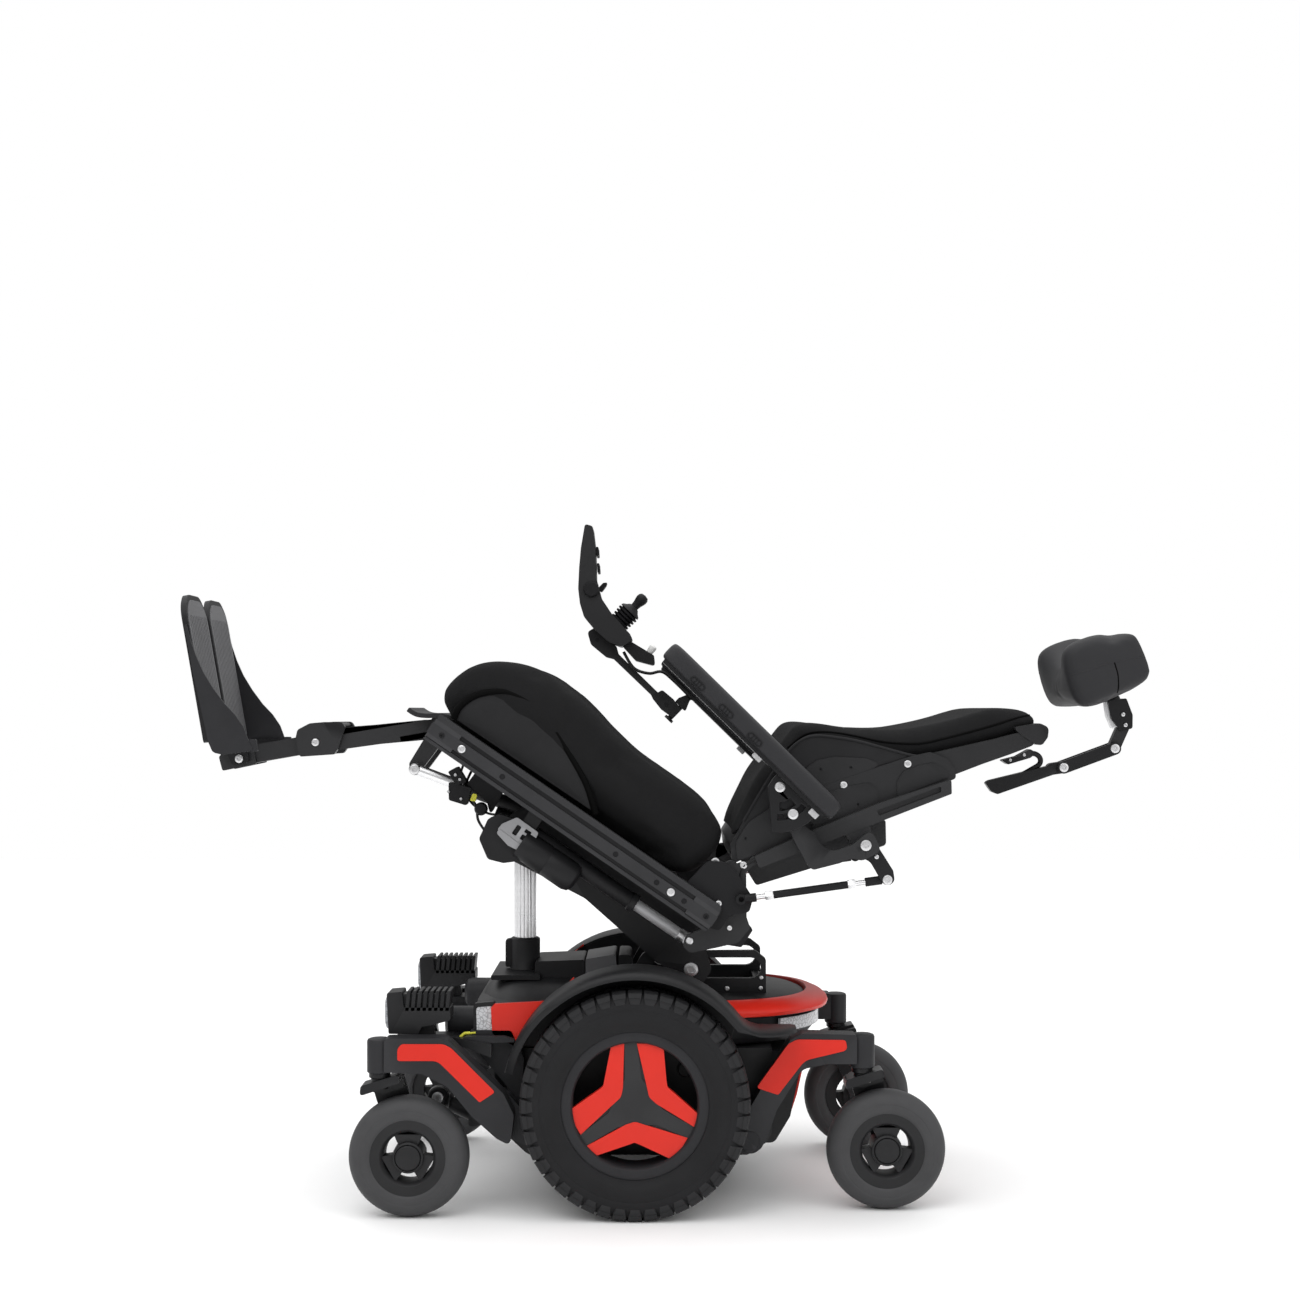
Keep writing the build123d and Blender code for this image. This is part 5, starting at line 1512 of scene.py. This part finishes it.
# -------------------------------------------------- leg rest and footplates
bm = bmesh.new()
channel = rounded([(-222, 28, 3), (-159, 29, 4), (-107, 24, 10), (-24, 18, 8), (6, 12, 8), (8, -4, 8),
                   (-6, -14, 8), (-33, -15, 8), (-106, -9, 10), (-222, -5, 3)])
for low, high in ((-50, -42), (42, 50)):
    add_plate(bm, channel, low, high)
add_plate(bm, rounded([(-222, 18, 1), (-222, 27, 3), (-159, 28, 3), (-107, 23, 3), (-44, 19, 3),
                       (-44, 17, 1)]), -50, 50)
add_plate(bm, rounded([(-70, -12, 3), (-70, -2.6, 1), (-20, -2.6, 1), (-20, -12, 3)]), -50, 50)
for sign in (-1, 1):
    add_plate(bm, rounded([(-13, 6, 8), (12, 6, 8), (10, -14, 8), (-43, -64, 9), (-60, -66, 9),
                           (-62, -50, 9)], 6), *span(sign, 48, 60))
finish("leg_channel", to_mesh("leg", bm), LEG, PAINT, "legrest", replaces=("leg_tube",), bevel=1.4,
       segments=3)
bm = bmesh.new()
clamp = rounded([(-239, -7, 5), (-240, 26, 6), (-235, 38, 8), (-213, 45, 14), (-190, 43, 10),
                 (-160, 38, 8), (-156, 28, 6), (-174, -5, 6), (-182, -13, 5)], 6)
for sign in (-1, 1):
    add_plate(bm, clamp, *span(sign, 44, 58))
add_plate(bm, rounded([(-236, 28, 4), (-233, 37, 8), (-213, 44, 12), (-190, 42, 10), (-162, 37, 8),
                       (-160, 30, 4)]), -56, 56)
finish("leg_clamp", to_mesh("clamp", bm), LEG, PAINT, "legrest", bevel=4.0, segments=4)
bolts("leg_clamp_bolts", [(-209, -58, 12, 6.5)], LEG, "legrest", both=True)
bolts("knee_bolts", [(0, -72, 0, 9)], LEG, "legrest", both=True)
bm = bmesh.new()
add_plate(bm, rounded([(-330, -2, 3), (-330, 16, 3), (-112, 16, 1), (-112, -2, 1)]), -40, 40)
add_plate(bm, rounded([(-330, -4, 3), (-330, 25, 3), (-300, 26, 3), (-241, 26, 2), (-241, -4, 2)]), -41, 41)
bracket = rounded([(-374, 16, 5), (-372, -8, 4), (-314, -6, 3), (-314, 25, 3), (-340, 27, 6),
                   (-362, 26, 6)])
for sign in (-1, 1):
    add_plate(bm, bracket, *span(sign, 41, 47))
add_tube(bm, [(-338, -61, 7), (-338, 61, 7)], 6, steps=28)
finish("leg_slider_piece", to_mesh("slider", bm), LEG, PAINT, "leg_slider", replaces=("leg_slider",),
       bevel=1.2)
bolts("foot_pivot_bolts", [(-338, -62, 7, 7)], LEG, "leg_slider", both=True)

# footplates: a rounded tread slab, a curved side guard and a hinge block
TREAD_X = (-371, -362)
ACROSS = Matrix(((0, 1, 0, 0), (1, 0, 0, 0), (0, 0, 1, 0), (0, 0, 0, 1)))
guard = rounded([(-367, 150, 10), (-368, 232, 4), (-364, 236, 3), (-362, 208, 20), (-358, 182, 20),
                 (-351, 154, 24), (-340, 126, 24), (-326, 98, 24), (-312, 77, 20), (-302, 55, 14),
                 (-298, 33, 8), (-292, 15, 4), (-344, 17, 6), (-358, 24, 8), (-362, 41, 10)], 5)
for side, sign in SIDES:
    bm = bmesh.new()
    lobe = rounded([(sign * 8, 41, 6), (sign * 8, 262, 50), (sign * 40, 285, 40), (sign * 122, 285, 40),
                    (sign * 155, 262, 50), (sign * 155, 41, 6)], 8)
    add_plate(bm, lobe, *TREAD_X)
    bmesh.ops.transform(bm, matrix=ACROSS, verts=bm.verts)
    finish("footplate_slab_" + side, to_mesh("slab", bm), LEG, PLASTIC, "foot_" + side,
           replaces=("footplate_" + side,), bevel=2.0, segments=3)
    middle = Vector((sign * 81, 162))
    bm = bmesh.new()
    add_plate(bm, [middle + (Vector(p) - middle) * 0.93 for p in lobe], -362.4, -360.6)
    for k in range(11):
        y = sign * (24 + 11.4 * k)
        add_plate(bm, [(y - 1.6, 56), (y + 1.6, 56), (y + 1.6, 250), (y - 1.6, 250)], -360.8, -359.8)
    bmesh.ops.transform(bm, matrix=ACROSS, verts=bm.verts)
    finish("footplate_tread_" + side, to_mesh("tread", bm), LEG, TREAD, "foot_" + side, bevel=0.5,
           segments=2)
    bm = bmesh.new()
    add_plate(bm, guard, *span(sign, 155.5, 160))
    finish("footplate_side_" + side, to_mesh("side", bm), LEG, PLASTIC_GREY, "foot_" + side, bevel=1.6,
           segments=3)
    bm = bmesh.new()
    block = rounded([(-352, -2, 5), (-358, 22, 4), (-371, 36, 4), (-371, 52, 4), (-362, 52, 6),
                     (-330, 30, 10), (-322, 24, 8), (-324, -2, 5)], 6)
    add_plate(bm, block, *span(sign, 49, 59), holes=[circle(-338, 7, 7, 20)])
    add_plate(bm, rounded([(-356, 22, 4), (-362, 40, 4), (-318, 34, 8), (-300, 26, 6), (-300, 15, 3),
                           (-344, 17, 6)]), *span(sign, 146, 155.5))
    finish("footplate_hinge_" + side, to_mesh("hinge", bm), LEG, PAINT, "foot_" + side, bevel=1.6,
           segments=3)
    plate("footplate_clip_" + side, rounded([(-297, 13, 2), (-297, 34, 2), (-286, 32, 2), (-286, 13, 2)]),
          *span(sign, 150, 159), LEG, PLASTIC_GREY, "foot_" + side)

# -------------------------------------------------- joystick module on the right armrest
JOY_Y = 265.0
bm = bmesh.new()
swing = rounded([(-409, -34, 8), (-404, -17, 8), (-352, -16, 6), (-340, -23, 4), (-240, -23, 2),
                 (-238, -14, 6), (-212, -12, 4), (-188, -15, 6), (-187, -37, 6), (-214, -41, 8),
                 (-238, -38, 6), (-246, -35, 2), (-340, -36, 4), (-352, -43, 8), (-388, -46, 10)], 6)
add_plate(bm, swing, JOY_Y - 16, JOY_Y + 4)
finish("joystick_arm_piece", to_mesh("swing", bm), ARM, PAINT, "joystick", replaces=("joystick_arm",),
       bevel=2.0, segments=3)
bolts("joystick_arm_bolts", [(-386, JOY_Y - 16, -32, 4), (-214, JOY_Y - 16, -28, 4)], ARM, "joystick",
      RUBBER)
bm = bmesh.new()
strap = rounded([(-206, -13, 3), (-206, -3, 4), (-196, 19, 5), (-150, 20, 3), (-150, 12, 3),
                 (-190, 11, 5), (-180, -13, 3)], 5)
add_plate(bm, strap, 250, 282)
add_lathe(bm, [(0, -46), (9, -46), (9, -41), (5, -40.5), (5, -13), (0, -13)], -192, 0, steps=32,
          axis="Z", y=264)
finish("joystick_mount", to_mesh("strap", bm), ARM, PAINT, "armrest_right", bevel=1.4)

module = [tuple(p) for p in rounded([(-547, 102, 5), (-534, 109, 6), (-503, 84, 20), (-464, 46, 20),
                                     (-432, 27, 16), (-399, 20, 10), (-350, 17, 8), (-339, 13, 4),
                                     (-344, -10, 10), (-367, -20, 10), (-402, -22, 14), (-431, -19, 14),
                                     (-453, -7, 16), (-474, 10, 20), (-499, 38, 20), (-522, 66, 20)], 6)]
bm = bmesh.new()
add_plate(bm, module, JOY_Y - 44, JOY_Y + 44)
finish("joystick_shell", to_mesh("module", bm), ARM, PLASTIC, "joystick", replaces=("joystick_module",),
       bevel=6.0, segments=5)
bm = bmesh.new()
add_plate(bm, rounded([(-540, 102, 2), (-536, 106, 3), (-505, 82, 10), (-462, 43, 10), (-458, 38, 2),
                       (-462, 34, 2)]), JOY_Y - 37, JOY_Y + 37)
finish("joystick_screen", to_mesh("screen", bm), ARM, SHELL, "joystick", bevel=1.0)
bm = bmesh.new()
for row_number in range(2):
    for column in range(3):
        x = -498 + 22 * row_number
        z = 82 - 20 * row_number
        turn = Matrix.Translation((x, JOY_Y - 24 + 24 * column, z)) @ Matrix.Rotation(math.radians(42),
                4, "Y")
        key = bmesh.new()
        add_plate(key, rounded([(-8, -1, 1), (-8, 3.5, 2), (8, 3.5, 2), (8, -1, 1)]), -9, 9)
        bmesh.ops.transform(key, matrix=turn, verts=key.verts)
        part = bpy.data.meshes.new("key")
        key.to_mesh(part)
        key.free()
        bm.from_mesh(part)
finish("joystick_keys", to_mesh("keys", bm), ARM, RUBBER, "joystick", bevel=1.2, segments=3)
bm = bmesh.new()
add_lathe(bm, [(0, JOY_Y - 49), (12.6, JOY_Y - 49), (13.7, JOY_Y - 47.5), (13.7, JOY_Y - 40),
               (0, JOY_Y - 40)], -456, 26, steps=28)
for k in range(14):
    a = 2 * math.pi * k / 14
    add_plate(bm, circle(-456 + 13.6 * math.cos(a), 26 + 13.6 * math.sin(a), 1.5, 8), JOY_Y - 48,
              JOY_Y - 41)
finish("joystick_side_knob", to_mesh("knob", bm), ARM, RUBBER, "joystick", bevel=0.4, segments=1)
plate("module_paddle_piece", rounded([(-451, 34, 3), (-451, 50, 3), (-446, 56, 2.5), (-443, 50, 3),
                                      (-441, 36, 3)]), JOY_Y - 11, JOY_Y + 11, ARM, RUBBER, "paddle",
      replaces=("module_paddle",), bevel=1.2)

bm = bmesh.new()
add_plate(bm, rounded([(-346, -8, 4), (-339, 9, 4), (-292, 20, 5), (-277, 8, 5), (-309, -10, 6)], 5),
          JOY_Y - 29, JOY_Y + 29)
finish("switch_box", to_mesh("switch_box", bm), ARM, PLASTIC, "joystick", bevel=2.4, segments=3)
bm = bmesh.new()
add_tube(bm, [(-301, JOY_Y, 11), (-302, JOY_Y, 16), (-303, JOY_Y, 24), (-304, JOY_Y, 31),
              (-304, JOY_Y, 34)], [4, 5.5, 7, 7.4, 5], steps=24)
finish("toggle_piece", to_mesh("toggle", bm), ARM, WHITE, "toggle", replaces=("toggle_switch",),
       subdivide=1)
bm = bmesh.new()
gaiter = [(14, 17)]
for k in range(4):
    gaiter += [(19.4 + 0.5 * k, 19.5 + 6.6 * k), (20 + 0.5 * k, 22.5 + 6.6 * k),
               (14.5 + 0.5 * k, 24.6 + 6.6 * k)]
gaiter += [(21, 46), (19, 49.5), (14, 53), (9.5, 58), (0, 58)]
add_lathe(bm, [(0, 17)] + gaiter, -380, 0, steps=48, axis="Z", y=JOY_Y)
finish("joystick_gaiter", to_mesh("gaiter", bm), ARM, RUBBER, "gimbal", replaces=("joystick_gimbal",))
bm = bmesh.new()
add_lathe(bm, [(0, 48), (8, 49), (7.6, 60), (8.2, 66), (10, 72), (11, 77), (10.4, 82), (7.2, 86),
               (0, 87.5)], -380, 0, steps=40, axis="Z", y=JOY_Y)
finish("joystick_knob", to_mesh("knob", bm), ARM, RUBBER, "stick", replaces=("joystick_stick",))
tube("joystick_cable", spline([(-336, JOY_Y - 20, -14), (-302, JOY_Y - 26, -22),
                               (-276, JOY_Y - 30, -10), (-262, JOY_Y - 32, 8), (-240, JOY_Y - 26, 12),
                               (-190, JOY_Y - 22, 12)], 7), 2.8, ARM, CABLE, "armrest_right", steps=10)

# -------------------------------------------------- headrest
bm = bmesh.new()
add_plate(bm, rounded([(48, 474, 4), (47, 482, 3), (64, 592, 5), (80, 592, 5), (74, 486, 4),
                       (66, 478, 4)], 5), -9, 9)
add_plate(bm, link_ring((70, 588), (74.5, 605.5), 10), -8, 8)
add_plate(bm, rounded([(23, 513, 2), (27, 540, 2), (24, 565, 3), (34, 573, 3), (38, 560, 3),
                       (34, 521, 3)]), -14, 14)
add_tube(bm, spline([(30, 0, 558), (36, 0, 572), (46, 0, 577), (55, 0, 572), (58, 0, 556),
                     (60, 0, 540)], 6), 4.5, steps=16)
finish("headrest_slide", to_mesh("slide", bm), BACK, PAINT, "back", replaces=("headrest_bar",), bevel=1.4)
bolts("headrest_clip_bolts", [(28, -14, 527, 3), (29, -14, 552, 3)], BACK, "back", both=True)
bm = bmesh.new()
for sign in (-1, 1):
    add_plate(bm, link_ring((74.5, 605.5), (78, 697.5), 10.5), *span(sign, 8.6, 15))
add_plate(bm, rounded([(66, 626, 3), (68, 678, 3), (87, 678, 3), (86, 626, 3)]), -10, 10)
finish("headrest_lower", to_mesh("lower", bm), BACK, PAINT, "head_lower",
       replaces=("headrest_link_lower",), bevel=1.2)
bolts("headrest_bolts", [(74.5, -15, 605.5, 8), (78, -15, 697.5, 8)], BACK, "head_lower", both=True)
bm = bmesh.new()
add_plate(bm, link_ring((78, 697.5), (50, 727), 10), -8, 8)
fork = rounded([(-1, 717, 4), (7, 748, 4), (37, 747, 8), (58, 738, 5), (55, 718, 6), (30, 711, 8)], 5)
for sign in (-1, 1):
    add_plate(bm, fork, *span(sign, 8.4, 14))
add_lathe(bm, [(0, 1), (9, 1), (11, 3), (11, 7), (0, 9)], -3, 730, steps=36, axis="X")
finish("headrest_upper", to_mesh("upper", bm), BACK, PAINT, "head_upper",
       replaces=("headrest_link_upper",), bevel=1.0)
bm = bmesh.new()
add_lathe(bm, [(0, -11), (14, -11), (14, -5.5), (5, -4), (4.6, 0.5), (0, 0.8)], -6, 729, steps=36, axis="X")
finish("head_pad_socket", to_mesh("socket", bm), BACK, RUBBER, "head_pad")
plate("headrest_cheek", strip([(0, 718), (24, 712), (46, 712)], 9), -9.6, 9.6, BACK, STEEL, "head_upper")
bolts("headrest_fork_bolts", [(30, -14, 732, 3.6), (48, -14, 729, 3.6)], BACK, "head_upper", both=True)

# pad: a thick cushion whose ends wrap forward
PAD_HALF = 123.0
PAD_RING = [(-12, 668), (-11, 712), (-14, 760), (-22, 777), (-40, 782), (-84, 782), (-96, 775),
            (-101, 761), (-105, 742), (-114, 725), (-118, 692), (-115, 669), (-103, 656), (-76, 649),
            (-40, 646), (-20, 651)]
middle = Vector((-60, 716))
sections = []
for k in range(31):
    t = -1 + k / 15
    ends = max(0.0, (abs(t) - 0.86) / 0.14)
    pull = 0.22 * (1 - math.sqrt(max(0.0, 1 - ends ** 2)))
    hollow = max(0.0, 1 - (t / 0.72) ** 2)
    ring = [(x + 34 * hollow * min(1.0, max(0.0, (-60 - x) / 40)), z) for x, z in PAD_RING]
    row = []
    for p in spline(ring, 3, closed=True):
        q = p + (middle - p) * pull
        row.append((q.x, PAD_HALF * t, q.y))
    sections.append(row)
head = finish("head_cushion", to_mesh("head", loft(sections)), BACK, SKIN, "head_pad",
              replaces=("head_pad",))
swell(head, pressure=2.0, cap=3.0, voxel=4.5)
dress(head, SKIN)
for side, sign in SIDES:
    long_seam = spline([(-72, 655), (-68, 687), (-67, 711), (-64, 727), (-60, 750), (-54, 776)], 6)
    cross_seam = spline([(-64, 727), (-45, 725), (-28, 720), (-16, 715)], 5)
    tube("head_seam_" + side, drape(head, BACK, long_seam, sign, -0.4), 0.9, BACK, SKIN, "head_pad",
         steps=8)
    tube("head_cross_seam_" + side, drape(head, BACK, cross_seam, sign, -0.2), 1.1, BACK, PIPING,
         "head_pad", steps=8)

# -------------------------------------------------- CAD nodes that stay visible
finishes = {"frame_paint": PAINT, "body_plastic": PLASTIC, "trim_red": RED, "lamp_glass": REFLECTOR,
            "tyre_black": TYRE, "tyre_grey": CASTER, "tube_silver": SILVER, "cover_fabric": FABRIC,
            "soft_vinyl": SKIN, "knob_rubber": RUBBER, "switch_white": WHITE}
for part in frame["record"]["subparts"]:
    node = frame["nodes"].get(part["node"])
    if node is not None:
        node.data.materials.clear()
        node.data.materials.append(finishes.get(part["material_slot"], PAINT))

# -------------------------------------------------- floor, light and camera
SKY_LOW = 0.38
SKY_HIGH = 1.6
floor_material = surface("studio_floor", (0.93, 0.93, 0.93), 0.6, grain=200, bump=0.02, mottle=0.004)
bpy.ops.mesh.primitive_plane_add(size=14, location=(0, 0, 0))
floor = bpy.context.object
floor.name = "studio_floor"
floor.data.materials.append(floor_material)
world = bpy.data.worlds.new("studio")
bpy.context.scene.world = world
world.use_nodes = True
sky = world.node_tree
# seen directly the backdrop is white; as a light it is bright overhead and dim near the horizon
view = sky.nodes.new("ShaderNodeTexCoord")
split = sky.nodes.new("ShaderNodeSeparateXYZ")
sky.links.new(view.outputs["Generated"], split.inputs["Vector"])
rise = value_node(sky, "ShaderNodeMapRange", interpolation_type="SMOOTHSTEP")
rise.inputs["To Min"].default_value = SKY_LOW
rise.inputs["To Max"].default_value = SKY_HIGH
sky.links.new(split.outputs["Z"], rise.inputs["Value"])
rays = sky.nodes.new("ShaderNodeLightPath")
choose = value_node(sky, "ShaderNodeMix")
choose.inputs["B"].default_value = 1.0
sky.links.new(rays.outputs["Is Camera Ray"], choose.inputs["Factor"])
sky.links.new(rise.outputs["Result"], choose.inputs["A"])
sky.links.new(choose.outputs["Result"], sky.nodes["Background"].inputs["Strength"])
sky.nodes["Background"].inputs["Color"].default_value = (1, 1, 1, 1)


def area(name, place, target, size, power):
    data = bpy.data.lights.new(name, "AREA")
    data.shape = "RECTANGLE"
    data.size = size
    data.size_y = size
    data.energy = power
    lamp_object = bpy.data.objects.new(name, data)
    bpy.context.scene.collection.objects.link(lamp_object)
    lamp_object.location = place
    lamp_object.rotation_euler = (Vector(target) - Vector(place)).to_track_quat("-Z", "Y").to_euler()
    return lamp_object


area("key", (-1.2, -2.6, 3.2), (0, 0, 0.5), 2.2, 28)
area("fill", (2.6, -2.2, 1.6), (0, 0, 0.5), 1.8, 10)
area("top", (0.2, 0.3, 3.4), (0, 0, 0.4), 2.6, 22)

camera_data = bpy.data.cameras.new("camera")
camera = bpy.data.objects.new("camera", camera_data)
bpy.context.scene.collection.objects.link(camera)
camera.location = BASE @ Vector((0.023, -3.350, 0.786))
camera.rotation_euler = (math.radians(90), 0, 0)
camera_data.lens = 54.8
camera_data.sensor_width = 36.0
camera_data.shift_y = 0.046
bpy.context.scene.camera = camera

bpy.context.scene.view_settings.view_transform = "Standard"
bpy.context.scene.view_settings.look = "None"

# the two cushions each get a mesh of their own
give_way(seat_cushion)
give_way(back_cushion)
